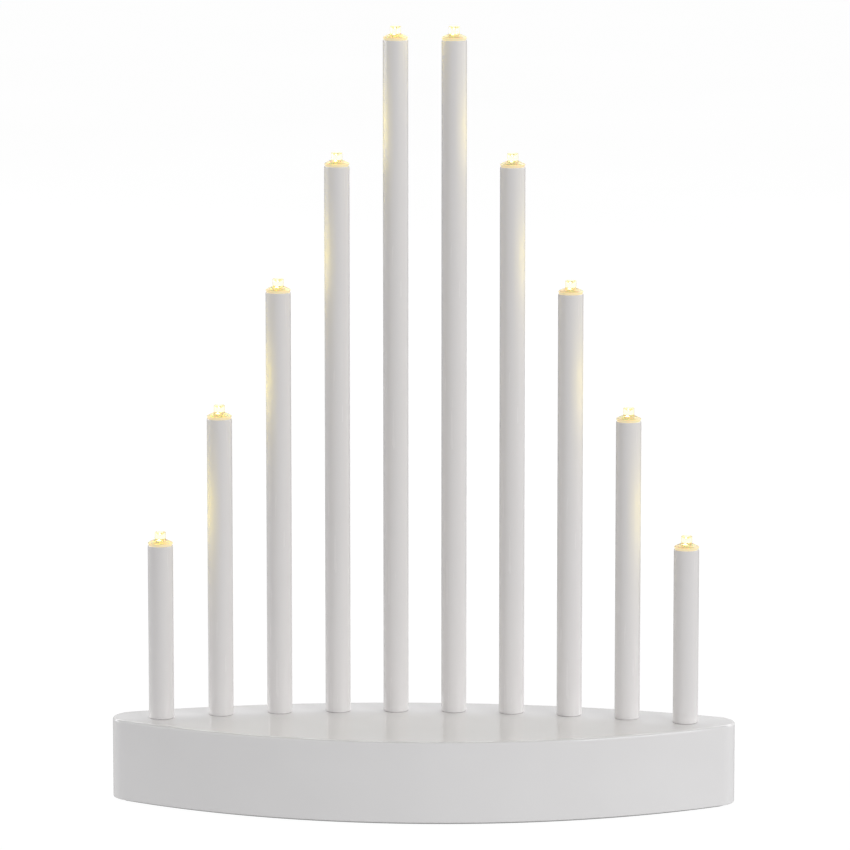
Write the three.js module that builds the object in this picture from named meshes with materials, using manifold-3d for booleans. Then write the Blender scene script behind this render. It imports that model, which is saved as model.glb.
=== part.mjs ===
// LED candlestick: ten candle tubes of stepped height on a lens-shaped housing.
// The housing holds two AA cells, a timer board and a slide switch behind a bottom cover.
// Millimetres, +Z up. The origin is on the table, under the middle of the housing.
// The front is towards -Y, and the candles stand on an arc near the back edge.
import * as THREE from 'three';
import { LoftGeometry } from 'three/addons/geometries/LoftGeometry.js';
import { mergeVertices } from 'three/addons/utils/BufferGeometryUtils.js';
import Module from 'manifold-3d';

const wasm = await Module();
wasm.setup();

// Clearances between neighbouring pieces
const FIT = 0.3;
const PIN_FIT = 0.2;

// Housing
const HOUSING_LENGTH = 230;
const HOUSING_HEIGHT = 30;
const END_RADIUS = 9.8;
const FRONT_BULGE = 31.7;
const BACK_BULGE = 19.9;
const TOP_FILLET = 1;
const RIM_CHAMFER = 0.4;
const SIDE_WALL = 2.4;
const TOP_WALL = 2.4;
const RIM_WALL = 1.2;
const TABLE_GAP = 1;

// Candle tubes and their sockets in the housing
const CANDLES_PER_SIDE = 5;
const CANDLE_PITCH = 21.5;
const CANDLE_INSET = 14.3;
const SHORTEST_CANDLE = 64.6;
const CANDLE_STEP = 46.3;
const TUBE_RADIUS = 4.65;
const TUBE_WALL = 0.8;
const TUBE_EDGE = 0.2;
const TUBE_DEPTH = 14;
const SOCKET_WALL = 1.8;
const SOCKET_FLOOR = 1.6;
const WIRE_HOLE_RADIUS = 2.6;
const RIB_THICKNESS = 1.2;
const RIB_HEIGHT = 8;

// LED and the collar that holds it on the tube
const LED_RADIUS = 2;
const LED_FLANGE_RADIUS = 2.4;
const LED_FLANGE_HEIGHT = 1;
const LED_STAND_OUT = 5;
const LED_DISH_RADIUS = 1.65;
const LED_DISH_DEPTH = 1.4;
const LED_LEG_RADIUS = 0.25;
const LED_LEG_OUT = 1.27;
const LED_LEG_LENGTH = 4;
const COLLAR_FLANGE = 0.5;
const COLLAR_HEIGHT = 2;
const COLLAR_TOP_RADIUS = 2.9;
const COLLAR_PLUG = 5;
const LED_SEAT_DEPTH = 0.4;

// Bottom cover
const COVER_RECESS = 0.5;
const COVER_THICKNESS = 2.6;

// Feet
const FOOT_RADIUS = 5;
const FOOT_HEIGHT = 2.2;
const FOOT_CHAMFER = 0.4;
const FOOT_X = 62;
const FOOT_FRONT_Y = -16;
const FOOT_BACK_Y = 20;

// Screws, with their columns in the cover and bosses in the shell
const SCREW_PLACES = [[-86, -2], [-38, 10], [38, 10], [86, -2]];
const SCREW_RADIUS = 1.3;
const SCREW_LENGTH = 12;
const SCREW_TIP = 1.5;
const SCREW_HEAD_RADIUS = 2.7;
const SCREW_CROWN_RADIUS = 2;
const SCREW_HEAD_HEIGHT = 1.9;
const SCREW_SINK = 4.5;
const SCREW_SLOT_WIDTH = 0.7;
const SCREW_SLOT_LENGTH = 3.2;
const SCREW_SLOT_DEPTH = 1;
const COLUMN_RADIUS = 4.2;
const COLUMN_FLOOR = 2;
const BOSS_RADIUS = 3.2;
const PILOT_SPARE = 2;

// AA cells and the bay that holds them
const CELL_RADIUS = 7.25;
const CELL_LENGTH = 50.5;
const CELL_NUB_RADIUS = 2.6;
const CELL_NUB_LENGTH = 1;
const CELL_EDGE = 0.6;
const CELL_GAP = 0.6;
const CELL_PITCH = 2 * CELL_RADIUS + CELL_GAP;
const CELL_PLAY = 0.4;
const BAY_Y = -11.8;
const BAY_WALL = 1.6;
const LEDGE_WIDTH = 1;
const FRAME_WIDTH = 2;
const FRAME_HEIGHT = 1.6;

// Battery contacts
const CONTACT_THICKNESS = 0.5;
const CONTACT_WIDTH = 11;
const CONTACT_LIFT = 1.5;
const CONTACT_RISE = 5;
const BRIDGE_RISE = 1;
const DIMPLE_RADIUS = 2;
const DIMPLE_HEIGHT = 0.8;
const SPRING_LENGTH = 5.2;
const SPRING_BASE_RADIUS = 3.8;
const SPRING_TIP_RADIUS = 2.4;
const SPRING_WIRE_RADIUS = 0.4;
const SPRING_TURNS = 3;
const TAB_WIDTH = 3;
const TAB_REACH = 2;
const TAB_RISE = 3;

// Battery door: its hinge is at the left end and its snap tongue at the right end
const DOOR_THICKNESS = 2;
const HINGE_PIN_RADIUS = 0.5;
const HINGE_PIN_LENGTH = 1.4;
const TONGUE_WIDTH = 3.4;
const TONGUE_THICKNESS = 1;
const TONGUE_HEIGHT = 4.5;
const TONGUE_GAP = 0.55;
const CATCH_REACH = 0.4;
const CATCH_HEIGHT = 1;
const CATCH_GROOVE_DEPTH = 0.8;
const GRIP_COUNT = 3;
const GRIP_PITCH = 2.5;
const GRIP_WIDTH = 1;
const GRIP_LENGTH = 12;
const GRIP_HEIGHT = 0.3;
const GRIP_FROM_EDGE = 4;
const SCOOP_RADIUS = 6;
const SCOOP_DEPTH = 1;

// Slide switch and its knob
const SWITCH_X = 54;
const SWITCH_Y = -4;
const SWITCH_TRAVEL = 5;
const KNOB_LENGTH = 5;
const KNOB_WIDTH = 3.6;
const KNOB_STAND_OUT = 0.7;
const KNOB_FLANGE_HEIGHT = 1;
const KNOB_FLANGE_MARGIN = 0.3;
const KNOB_FLANGE_SIDE = 1.2;
const KNOB_NOTCH = 0.5;
const ACTUATOR_LENGTH = 2;
const ACTUATOR_WIDTH = 1.5;
const ACTUATOR_HEIGHT = 2.8;
const RAIL_THICKNESS = 1;
const RAIL_HEIGHT = 1.8;
const DISH_MARGIN = 2;
const DISH_DEPTH = 1;
const SWITCH_LENGTH = 13;
const SWITCH_WIDTH = 6;
const SWITCH_HEIGHT = 4.5;

// Circuit board, with its posts and timer chip
const BOARD_LENGTH = 28;
const BOARD_WIDTH = 18;
const BOARD_THICKNESS = 1.6;
const POST_INSET = 3;
const POST_RADIUS = 1.6;
const POST_PIN_RADIUS = 0.8;
const POST_PIN_HEIGHT = 0.8;
const CHIP_LENGTH = 6;
const CHIP_WIDTH = 4;
const CHIP_HEIGHT = 1.6;
const CHIP_LEGS = 4;
const CHIP_LEG_WIDTH = 0.5;
const CHIP_LEG_REACH = 1;
const CHIP_LEG_THICKNESS = 0.4;
const CHIP_DX = 5;
const CHIP_DY = -4;

// Wiring
const LEAD_RADIUS = 0.6;
const LEAD_EXIT = 2;
const LEAD_ENTRY = 3;
const LEAD_ENTRY_RISE = 1;
const TWIN_WIDTH = 2.6;
const TWIN_THICKNESS = 1.3;
const BUS_DROP = 2;
const TAIL_REACH = 4;
const TAIL_RISE = 0.5;

// Facets, and the distance within which vertices are one
const FRONT_STEPS = 24;
const BACK_STEPS = 20;
const END_STEPS = 7;
const FILLET_STEPS = 3;
const TUBE_SIDES = 20;
const SMALL_SIDES = 10;
const TINY_SIDES = 6;
const LEG_SIDES = 4;
const ARCH_STEPS = 6;
const HINGE_STEPS = 5;
const TWIN_STEPS = 2;
const MERGE_DISTANCE = 1e-4;
const SPRING_SIDES = 5;
const SPRING_STEPS = 8;
const BUS_STEPS = 18;
const LEAD_STEPS = 10;

// Heights that follow from the values above
const SHELL_TOP = TABLE_GAP + HOUSING_HEIGHT;
const CEILING = SHELL_TOP - TOP_WALL;
const COVER_BOTTOM = TABLE_GAP + COVER_RECESS;
const COVER_TOP = COVER_BOTTOM + COVER_THICKNESS;
const TUBE_FOOT = SHELL_TOP - TUBE_DEPTH;
const SOCKET_BOTTOM = TUBE_FOOT - SOCKET_FLOOR;
const BUS_Z = SOCKET_BOTTOM - BUS_DROP;
const DOOR_TOP = COVER_BOTTOM + DOOR_THICKNESS;
const LEDGE_Z = DOOR_TOP + FIT;
const CELL_Z = DOOR_TOP + CELL_PLAY + CELL_RADIUS;
const SCREW_SEAT = COVER_BOTTOM + SCREW_SINK;
const COLUMN_TOP = SCREW_SEAT + COLUMN_FLOOR;
const KNOB_FLANGE_BOTTOM = COVER_TOP + FIT;
const KNOB_FLANGE_TOP = KNOB_FLANGE_BOTTOM + KNOB_FLANGE_HEIGHT;
const SWITCH_BOTTOM = KNOB_FLANGE_TOP + FIT;
const BOARD_BOTTOM = SWITCH_BOTTOM + SWITCH_HEIGHT;
const BOARD_TOP = BOARD_BOTTOM + BOARD_THICKNESS;

// Plan of the battery bay
const BAY_LENGTH = CELL_LENGTH + SPRING_LENGTH + DIMPLE_HEIGHT + 2 * CONTACT_THICKNESS + 4 * FIT;
const BAY_END = BAY_LENGTH / 2;
const ARCH_RADIUS = CELL_RADIUS + CELL_PLAY;
const BAY_HALF_WIDTH = CELL_PITCH / 2 + ARCH_RADIUS;
const DOOR_SPACE_END = BAY_END + LEDGE_WIDTH;
const DOOR_SPACE_HALF_WIDTH = BAY_HALF_WIDTH + LEDGE_WIDTH;
const DOOR_END = DOOR_SPACE_END - FIT;
const DOOR_HALF_WIDTH = DOOR_SPACE_HALF_WIDTH - FIT;
const HINGE_X = -DOOR_END + DOOR_THICKNESS / 2;
const HINGE_Z = COVER_BOTTOM + DOOR_THICKNESS / 2;
const FRONT_CELL_Y = BAY_Y - CELL_PITCH / 2;
const BACK_CELL_Y = BAY_Y + CELL_PITCH / 2;

// Plan of the housing: two arcs that would meet in points, offset outwards by the end radius
const HALF_SPAN = HOUSING_LENGTH / 2 - END_RADIUS;
const END_LINE_Y = (FRONT_BULGE - BACK_BULGE) / 2;

function arcOver(bulge) {
  const radius = (HALF_SPAN ** 2 + bulge ** 2) / (2 * bulge);
  const offset = radius - bulge;
  return { radius, offset, tilt: Math.atan2(offset, HALF_SPAN) };
}

const FRONT = arcOver(FRONT_BULGE);
const BACK = arcOver(BACK_BULGE);

// The housing's outline moved inwards, counterclockwise from above
function lensOutline(inset) {
  const end = END_RADIUS - inset;
  const arcs = [
    [HALF_SPAN, END_LINE_Y, end, -FRONT.tilt, BACK.tilt, END_STEPS],
    [0, END_LINE_Y - BACK.offset, BACK.radius + end, BACK.tilt, Math.PI - BACK.tilt, BACK_STEPS],
    [-HALF_SPAN, END_LINE_Y, end, Math.PI - BACK.tilt, Math.PI + FRONT.tilt, END_STEPS],
    [0, END_LINE_Y + FRONT.offset, FRONT.radius + end, Math.PI + FRONT.tilt,
      2 * Math.PI - FRONT.tilt, FRONT_STEPS],
  ];
  const points = [];
  for (const [x, y, radius, from, to, steps] of arcs) {
    for (let i = 0; i < steps; i++) {
      const angle = from + (to - from) * i / steps;
      points.push(new THREE.Vector2(x + radius * Math.cos(angle), y + radius * Math.sin(angle)));
    }
  }
  return points;
}

// The candles stand on an arc that keeps its distance to the back edge
const CANDLE_ARC_RADIUS = BACK.radius + END_RADIUS - CANDLE_INSET;

function candleY(x) {
  return END_LINE_Y - BACK.offset + Math.sqrt(CANDLE_ARC_RADIUS ** 2 - x ** 2);
}

// Each candle's name ending, place and rim height, from left to right
const CANDLES = [];
for (let i = 0; i < 2 * CANDLES_PER_SIDE; i++) {
  const x = (i - CANDLES_PER_SIDE + 0.5) * CANDLE_PITCH;
  const stepsUp = Math.min(i, 2 * CANDLES_PER_SIDE - 1 - i);
  CANDLES.push({
    label: String(i + 1).padStart(2, '0'),
    x,
    y: candleY(x),
    rim: SHELL_TOP + SHORTEST_CANDLE + stepsUp * CANDLE_STEP,
  });
}

// Materials
function material(color, roughness, metalness = 0) {
  return new THREE.MeshStandardMaterial({ color, roughness, metalness });
}

const glossWhite = () => material(0xe6e6e8, 0.18);
const mattWhite = () => material(0xdcdcdc, 0.5);
const steel = () => material(0xc4c6c8, 0.3, 1);

// Solids from three.js geometry, and back
function solidOf(geometry) {
  const bare = new THREE.BufferGeometry().copy(geometry);
  bare.deleteAttribute('normal');
  bare.deleteAttribute('uv');
  const merged = mergeVertices(bare, MERGE_DISTANCE);
  const mesh = new wasm.Mesh({
    numProp: 3,
    vertProperties: merged.attributes.position.array,
    triVerts: new Uint32Array(merged.index.array),
  });
  return new wasm.Manifold(mesh);
}

function geometryOf(solid) {
  const { vertProperties, triVerts } = solid.getMesh();
  const geometry = new THREE.BufferGeometry();
  geometry.setAttribute('position', new THREE.BufferAttribute(vertProperties, 3));
  geometry.setIndex(new THREE.BufferAttribute(triVerts, 1));
  geometry.computeVertexNormals();
  return geometry;
}

function joined(base, pieces) {
  return pieces.reduce((solid, piece) => solid.add(solidOf(piece)), base);
}

function cut(base, pieces) {
  return pieces.reduce((solid, piece) => solid.subtract(solidOf(piece)), base);
}

// Plain forms, placed by their limits
function block([x0, x1], [y0, y1], [z0, z1]) {
  return new THREE.BoxGeometry(x1 - x0, y1 - y0, z1 - z0)
    .translate((x0 + x1) / 2, (y0 + y1) / 2, (z0 + z1) / 2);
}

function post(x, y, radius, [z0, z1], sides = SMALL_SIDES) {
  return new THREE.CylinderGeometry(radius, radius, z1 - z0, sides)
    .rotateX(Math.PI / 2)
    .translate(x, y, (z0 + z1) / 2);
}

function pinAlongY(x, z, radius, [y0, y1]) {
  return new THREE.CylinderGeometry(radius, radius, y1 - y0, SMALL_SIDES)
    .translate(x, (y0 + y1) / 2, z);
}

// A profile of [radius, height] pairs turned about the vertical axis
function turned(profile, sides = SMALL_SIDES) {
  const points = profile.map(([radius, height]) => new THREE.Vector2(radius, height));
  return new THREE.LatheGeometry(points, sides).rotateX(Math.PI / 2);
}

function turnedRing(profile, sides) {
  return turned([...profile, profile[0]], sides);
}

// A level slice of the housing's plan, through [inset, height] pairs from the bottom up
function lensBody(levels) {
  const sections = levels.map(([inset, z]) => (
    lensOutline(inset).map((p) => new THREE.Vector3(p.x, p.y, z))
  ));
  return new LoftGeometry(sections, { capStart: true, capEnd: true });
}

// A shape drawn in Y and Z, pushed along X
function alongX(shape, [x0, x1], curveSegments) {
  const turn = new THREE.Matrix4().makeBasis(
    new THREE.Vector3(0, 1, 0), new THREE.Vector3(0, 0, 1), new THREE.Vector3(1, 0, 0));
  return new THREE.ExtrudeGeometry(shape, { depth: x1 - x0, bevelEnabled: false, curveSegments })
    .applyMatrix4(turn)
    .translate(x0, 0, 0);
}

// A shape drawn in X and Z, pushed along Y
function alongY(shape, [y0, y1], curveSegments) {
  const turn = new THREE.Matrix4().makeBasis(
    new THREE.Vector3(1, 0, 0), new THREE.Vector3(0, 0, 1), new THREE.Vector3(0, -1, 0));
  return new THREE.ExtrudeGeometry(shape, { depth: y1 - y0, bevelEnabled: false, curveSegments })
    .applyMatrix4(turn)
    .translate(0, y1, 0);
}

function polygon(points) {
  return new THREE.Shape(points.map(([x, y]) => new THREE.Vector2(x, y)));
}

function sweep(shape, path, steps) {
  return new THREE.ExtrudeGeometry(shape, { steps, extrudePath: path, curveSegments: TWIN_STEPS });
}

function discShape(radius, sides) {
  const corners = [];
  for (let i = 0; i < sides; i++) {
    const angle = 2 * Math.PI * i / sides;
    corners.push([radius * Math.cos(angle), radius * Math.sin(angle)]);
  }
  return polygon(corners);
}

const candlestick = new THREE.Group();

function addPiece(name, geometry, finish, [x, y, z] = [0, 0, 0]) {
  const mesh = new THREE.Mesh(geometry, finish);
  mesh.name = name;
  mesh.position.set(x, y, z);
  candlestick.add(mesh);
}

// Housing shell: a lens with a rounded top edge, hollow and open underneath
function shellSkin() {
  const levels = [[RIM_CHAMFER, TABLE_GAP], [0, TABLE_GAP + RIM_CHAMFER]];
  for (let i = 0; i <= FILLET_STEPS; i++) {
    const angle = Math.PI / 2 * i / FILLET_STEPS;
    const inset = TOP_FILLET * (1 - Math.cos(angle));
    levels.push([inset, SHELL_TOP - TOP_FILLET + TOP_FILLET * Math.sin(angle)]);
  }
  const hollow = lensBody([[SIDE_WALL, 0], [SIDE_WALL, CEILING]]);
  const coverSpace = lensBody([[RIM_WALL, 0], [RIM_WALL, COVER_TOP]]);
  return cut(solidOf(lensBody(levels)), [hollow, coverSpace]);
}

// A rib from a candle's socket to the back wall, square to the candle arc
function socketRib({ x, y }) {
  const lean = Math.asin(x / CANDLE_ARC_RADIUS);
  const reach = CANDLE_INSET - SIDE_WALL / 2;
  const root = TUBE_RADIUS + FIT + SOCKET_WALL / 2;
  return block([-RIB_THICKNESS / 2, RIB_THICKNESS / 2], [root, reach],
    [CEILING - RIB_HEIGHT, CEILING + TOP_WALL / 2])
    .rotateZ(-lean)
    .translate(x, y, 0);
}

function baseShell() {
  const added = [];
  const removed = [];
  const socketRadius = TUBE_RADIUS + FIT + SOCKET_WALL;
  for (const candle of CANDLES) {
    const { x, y } = candle;
    added.push(post(x, y, socketRadius, [SOCKET_BOTTOM, CEILING + TOP_WALL / 2]));
    added.push(socketRib(candle));
    removed.push(post(x, y, TUBE_RADIUS + FIT, [TUBE_FOOT, SHELL_TOP + FIT], TUBE_SIDES));
    removed.push(post(x, y, WIRE_HOLE_RADIUS, [SOCKET_BOTTOM - FIT, TUBE_FOOT + FIT]));
  }
  for (const [x, y] of SCREW_PLACES) {
    added.push(post(x, y, BOSS_RADIUS, [COLUMN_TOP + FIT, CEILING + TOP_WALL / 2]));
    const pilotTop = SCREW_SEAT + SCREW_LENGTH + PILOT_SPARE;
    removed.push(post(x, y, SCREW_RADIUS + FIT, [COLUMN_TOP, pilotTop]));
  }
  return cut(joined(shellSkin(), added), removed);
}

// The bay's section: two arches over the cells, drawn in Y and Z. Arches too far apart to meet
// are joined by a level web
function archSection(radius, floor) {
  const half = CELL_PITCH / 2;
  const meet = Math.acos(Math.min(1, half / radius));
  const shape = new THREE.Shape();
  shape.moveTo(BAY_Y - half - radius, floor);
  shape.lineTo(BAY_Y - half - radius, CELL_Z);
  shape.absarc(BAY_Y - half, CELL_Z, radius, Math.PI, meet, true);
  shape.absarc(BAY_Y + half, CELL_Z, radius, Math.PI - meet, 0, true);
  shape.lineTo(BAY_Y + half + radius, floor);
  return shape;
}

function boardPosts() {
  const dx = BOARD_LENGTH / 2 - POST_INSET;
  const dy = BOARD_WIDTH / 2 - POST_INSET;
  return [[-dx, -dy, true], [dx, -dy, false], [dx, dy, true], [-dx, dy, false]]
    .map(([x, y, pinned]) => ({ x: SWITCH_X + x, y: SWITCH_Y + y, pinned }));
}

// Room in the cover for the door, its hinge pins, its catch and a fingernail
function doorSpaces() {
  const pocket = HINGE_PIN_LENGTH - FIT + PIN_FIT;
  const pinHole = (from, to) => pinAlongY(HINGE_X, HINGE_Z, HINGE_PIN_RADIUS + PIN_FIT, [from, to]);
  const grooveHalf = TONGUE_WIDTH / 2 + FIT;
  return [
    block([-DOOR_SPACE_END, DOOR_SPACE_END],
      [BAY_Y - DOOR_SPACE_HALF_WIDTH, BAY_Y + DOOR_SPACE_HALF_WIDTH], [0, LEDGE_Z]),
    pinHole(BAY_Y - DOOR_SPACE_HALF_WIDTH - pocket, BAY_Y - DOOR_HALF_WIDTH),
    pinHole(BAY_Y + DOOR_HALF_WIDTH, BAY_Y + DOOR_SPACE_HALF_WIDTH + pocket),
    block([BAY_END - FIT, BAY_END + CATCH_GROOVE_DEPTH],
      [BAY_Y - grooveHalf, BAY_Y + grooveHalf], [0, DOOR_TOP + TONGUE_HEIGHT + FIT]),
    post(DOOR_SPACE_END, BAY_Y, SCOOP_RADIUS, [0, COVER_BOTTOM + SCOOP_DEPTH], TUBE_SIDES),
  ];
}

// Slits for the two solder tabs in the bay's right end wall
function tabSlits() {
  return [FRONT_CELL_Y, BACK_CELL_Y].map((y) => block(
    [BAY_END - FIT, BAY_END + BAY_WALL + FIT],
    [y - TAB_WIDTH / 2 - FIT, y + TAB_WIDTH / 2 + FIT],
    [CELL_Z + TAB_RISE - FIT, CELL_Z + TAB_RISE + CONTACT_THICKNESS + FIT]));
}

// The knob's slot through the cover, in a shallow dish for the finger
function knobSpaces() {
  const slotX = (KNOB_LENGTH + SWITCH_TRAVEL) / 2 + FIT;
  const slotY = KNOB_WIDTH / 2 + FIT;
  return [
    block([SWITCH_X - slotX, SWITCH_X + slotX], [SWITCH_Y - slotY, SWITCH_Y + slotY], [0, COVER_TOP + FIT]),
    block([SWITCH_X - slotX - DISH_MARGIN, SWITCH_X + slotX + DISH_MARGIN],
      [SWITCH_Y - slotY - DISH_MARGIN, SWITCH_Y + slotY + DISH_MARGIN], [0, COVER_BOTTOM + DISH_DEPTH]),
  ];
}

const KNOB_FLANGE_HALF_LENGTH = KNOB_LENGTH / 2 + SWITCH_TRAVEL + FIT + KNOB_FLANGE_MARGIN;
const KNOB_FLANGE_HALF_WIDTH = KNOB_WIDTH / 2 + FIT + KNOB_FLANGE_SIDE;

function knobRails() {
  const halfLength = KNOB_FLANGE_HALF_LENGTH;
  const inner = KNOB_FLANGE_HALF_WIDTH + FIT;
  return [-1, 1].map((side) => {
    const edges = [side * inner, side * (inner + RAIL_THICKNESS)].sort((a, b) => a - b);
    return block([SWITCH_X - halfLength, SWITCH_X + halfLength],
      edges.map((edge) => SWITCH_Y + edge), [COVER_TOP - FIT, COVER_TOP + RAIL_HEIGHT]);
  });
}

const FOOT_PLACES = [
  [-FOOT_X, FOOT_FRONT_Y], [FOOT_X, FOOT_FRONT_Y], [-FOOT_X, FOOT_BACK_Y], [FOOT_X, FOOT_BACK_Y],
];

function bottomCover() {
  const plate = solidOf(lensBody([[RIM_WALL + FIT, COVER_BOTTOM], [RIM_WALL + FIT, COVER_TOP]]));
  const frameX = DOOR_SPACE_END + FRAME_WIDTH;
  const frameY = DOOR_SPACE_HALF_WIDTH + FRAME_WIDTH;
  const outerX = BAY_END + BAY_WALL;
  const added = [
    block([-frameX, frameX], [BAY_Y - frameY, BAY_Y + frameY], [COVER_BOTTOM, LEDGE_Z + FRAME_HEIGHT]),
    alongX(archSection(ARCH_RADIUS + BAY_WALL, COVER_BOTTOM), [-outerX, outerX], ARCH_STEPS),
    ...knobRails(),
  ];
  const removed = [
    alongX(archSection(ARCH_RADIUS, 0), [-BAY_END, BAY_END], ARCH_STEPS),
    ...doorSpaces(),
    ...tabSlits(),
    ...knobSpaces(),
  ];
  for (const [x, y] of SCREW_PLACES) {
    added.push(post(x, y, COLUMN_RADIUS, [COVER_BOTTOM, COLUMN_TOP]));
    removed.push(post(x, y, SCREW_HEAD_RADIUS + FIT, [0, SCREW_SEAT]));
    removed.push(post(x, y, SCREW_RADIUS + FIT, [0, COLUMN_TOP + FIT]));
  }
  for (const { x, y, pinned } of boardPosts()) {
    added.push(post(x, y, POST_RADIUS, [COVER_BOTTOM + DISH_DEPTH, BOARD_BOTTOM]));
    if (pinned) {
      const pinTop = BOARD_TOP + POST_PIN_HEIGHT;
      added.push(post(x, y, POST_PIN_RADIUS, [BOARD_BOTTOM - FIT, pinTop], TINY_SIDES));
    }
  }
  for (const [x, y] of FOOT_PLACES) {
    removed.push(post(x, y, FOOT_RADIUS + FIT, [0, FOOT_HEIGHT], TUBE_SIDES));
  }
  return cut(joined(plate, added), removed);
}

// Battery door: a plate with a round hinge end, two pins, a snap tongue and finger grips
function batteryDoor() {
  const round = DOOR_THICKNESS / 2;
  const side = new THREE.Shape();
  side.moveTo(DOOR_END, COVER_BOTTOM);
  side.lineTo(DOOR_END, DOOR_TOP);
  side.lineTo(HINGE_X, DOOR_TOP);
  side.absarc(HINGE_X, HINGE_Z, round, Math.PI / 2, 3 * Math.PI / 2, false);
  const across = [BAY_Y - DOOR_HALF_WIDTH, BAY_Y + DOOR_HALF_WIDTH];
  const plate = solidOf(alongY(side, across, HINGE_STEPS));

  const tongueOut = BAY_END - TONGUE_GAP;
  const tongueTop = DOOR_TOP + TONGUE_HEIGHT;
  const hook = polygon([
    [tongueOut - TONGUE_THICKNESS, HINGE_Z],
    [tongueOut, HINGE_Z],
    [tongueOut, tongueTop - 2 * CATCH_HEIGHT],
    [tongueOut + CATCH_REACH, tongueTop - CATCH_HEIGHT],
    [tongueOut, tongueTop],
    [tongueOut - TONGUE_THICKNESS, tongueTop],
  ]);
  const pinReach = DOOR_HALF_WIDTH + HINGE_PIN_LENGTH;
  const added = [
    alongY(hook, [BAY_Y - TONGUE_WIDTH / 2, BAY_Y + TONGUE_WIDTH / 2]),
    pinAlongY(HINGE_X, HINGE_Z, HINGE_PIN_RADIUS, [BAY_Y - pinReach, BAY_Y + pinReach]),
  ];
  for (let i = 0; i < GRIP_COUNT; i++) {
    const x = DOOR_END - GRIP_FROM_EDGE - i * GRIP_PITCH;
    added.push(block([x - GRIP_WIDTH / 2, x + GRIP_WIDTH / 2],
      [BAY_Y - GRIP_LENGTH / 2, BAY_Y + GRIP_LENGTH / 2], [COVER_BOTTOM - GRIP_HEIGHT, HINGE_Z]));
  }
  return joined(plate, added);
}

// AA cell lying along X, its positive nub towards +X, with its middle at the origin
function cell() {
  const shoulder = CELL_LENGTH / 2 - CELL_NUB_LENGTH;
  return turned([
    [0, -CELL_LENGTH / 2],
    [CELL_RADIUS - CELL_EDGE, -CELL_LENGTH / 2],
    [CELL_RADIUS, -CELL_LENGTH / 2 + CELL_EDGE],
    [CELL_RADIUS, shoulder - CELL_EDGE],
    [CELL_RADIUS - CELL_EDGE, shoulder],
    [CELL_NUB_RADIUS, shoulder],
    [CELL_NUB_RADIUS, CELL_LENGTH / 2],
    [0, CELL_LENGTH / 2],
  ], TUBE_SIDES).rotateY(Math.PI / 2);
}

// A contact spring: a wire wound on a cone about the X axis, from its wide end at x = 0
class ConeHelix extends THREE.Curve {
  getPoint(t, target = new THREE.Vector3()) {
    const angle = 2 * Math.PI * SPRING_TURNS * t;
    const radius = THREE.MathUtils.lerp(SPRING_BASE_RADIUS, SPRING_TIP_RADIUS, t);
    const reach = SPRING_LENGTH - SPRING_WIRE_RADIUS;
    return target.set(reach * t, radius * Math.cos(angle), radius * Math.sin(angle));
  }
}

function spring() {
  return sweep(discShape(SPRING_WIRE_RADIUS, SPRING_SIDES), new ConeHelix(), SPRING_STEPS * SPRING_TURNS);
}

// A dimple and a plate stand at the right end; a bridge at the left end is turned about Z
const CONTACT_FACE = BAY_END - FIT - CONTACT_THICKNESS;
const CONTACT_SPAN = [CONTACT_FACE, CONTACT_FACE + CONTACT_THICKNESS];
const CONTACT_BOTTOM = LEDGE_Z + CONTACT_LIFT;

function contactBlade(y) {
  return block(CONTACT_SPAN, [y - CONTACT_WIDTH / 2, y + CONTACT_WIDTH / 2],
    [CONTACT_BOTTOM, CELL_Z + CONTACT_RISE]);
}

function contactTab(y) {
  return block([CONTACT_FACE, BAY_END + BAY_WALL + TAB_REACH],
    [y - TAB_WIDTH / 2, y + TAB_WIDTH / 2],
    [CELL_Z + TAB_RISE, CELL_Z + TAB_RISE + CONTACT_THICKNESS]);
}

function dimpleAt(y) {
  return new THREE.CylinderGeometry(DIMPLE_RADIUS, DIMPLE_RADIUS / 2,
    DIMPLE_HEIGHT + CONTACT_THICKNESS / 2, SMALL_SIDES)
    .rotateZ(-Math.PI / 2)
    .translate(CONTACT_FACE - DIMPLE_HEIGHT / 2 + CONTACT_THICKNESS / 4, y, CELL_Z);
}

function springAt(y) {
  return spring()
    .rotateZ(Math.PI)
    .translate(CONTACT_FACE + CONTACT_THICKNESS / 4, y, CELL_Z);
}

function contactPlate() {
  return joined(solidOf(contactBlade(FRONT_CELL_Y)), [contactTab(FRONT_CELL_Y), dimpleAt(FRONT_CELL_Y)]);
}

function contactSpring() {
  return joined(solidOf(contactBlade(BACK_CELL_Y)), [contactTab(BACK_CELL_Y), springAt(BACK_CELL_Y)]);
}

// Drawn at the right end, then turned half round the bay's middle to the left end
function contactBridge() {
  const strip = block(CONTACT_SPAN, [FRONT_CELL_Y, BACK_CELL_Y], [CONTACT_BOTTOM, CELL_Z + BRIDGE_RISE]);
  const turnRound = (geometry) => geometry
    .translate(0, -BAY_Y, 0)
    .rotateZ(Math.PI)
    .translate(0, BAY_Y, 0);
  return joined(solidOf(turnRound(strip)), [
    turnRound(contactBlade(FRONT_CELL_Y)),
    turnRound(contactBlade(BACK_CELL_Y)),
    turnRound(dimpleAt(FRONT_CELL_Y)),
    turnRound(springAt(BACK_CELL_Y)),
  ]);
}

// Board, chip and switch
function circuitBoard() {
  const plate = block([SWITCH_X - BOARD_LENGTH / 2, SWITCH_X + BOARD_LENGTH / 2],
    [SWITCH_Y - BOARD_WIDTH / 2, SWITCH_Y + BOARD_WIDTH / 2], [BOARD_BOTTOM, BOARD_TOP]);
  const holes = boardPosts()
    .filter(({ pinned }) => pinned)
    .map(({ x, y }) => post(x, y, POST_PIN_RADIUS + FIT, [BOARD_BOTTOM - FIT, BOARD_TOP + FIT]));
  return cut(solidOf(plate), holes);
}

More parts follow.
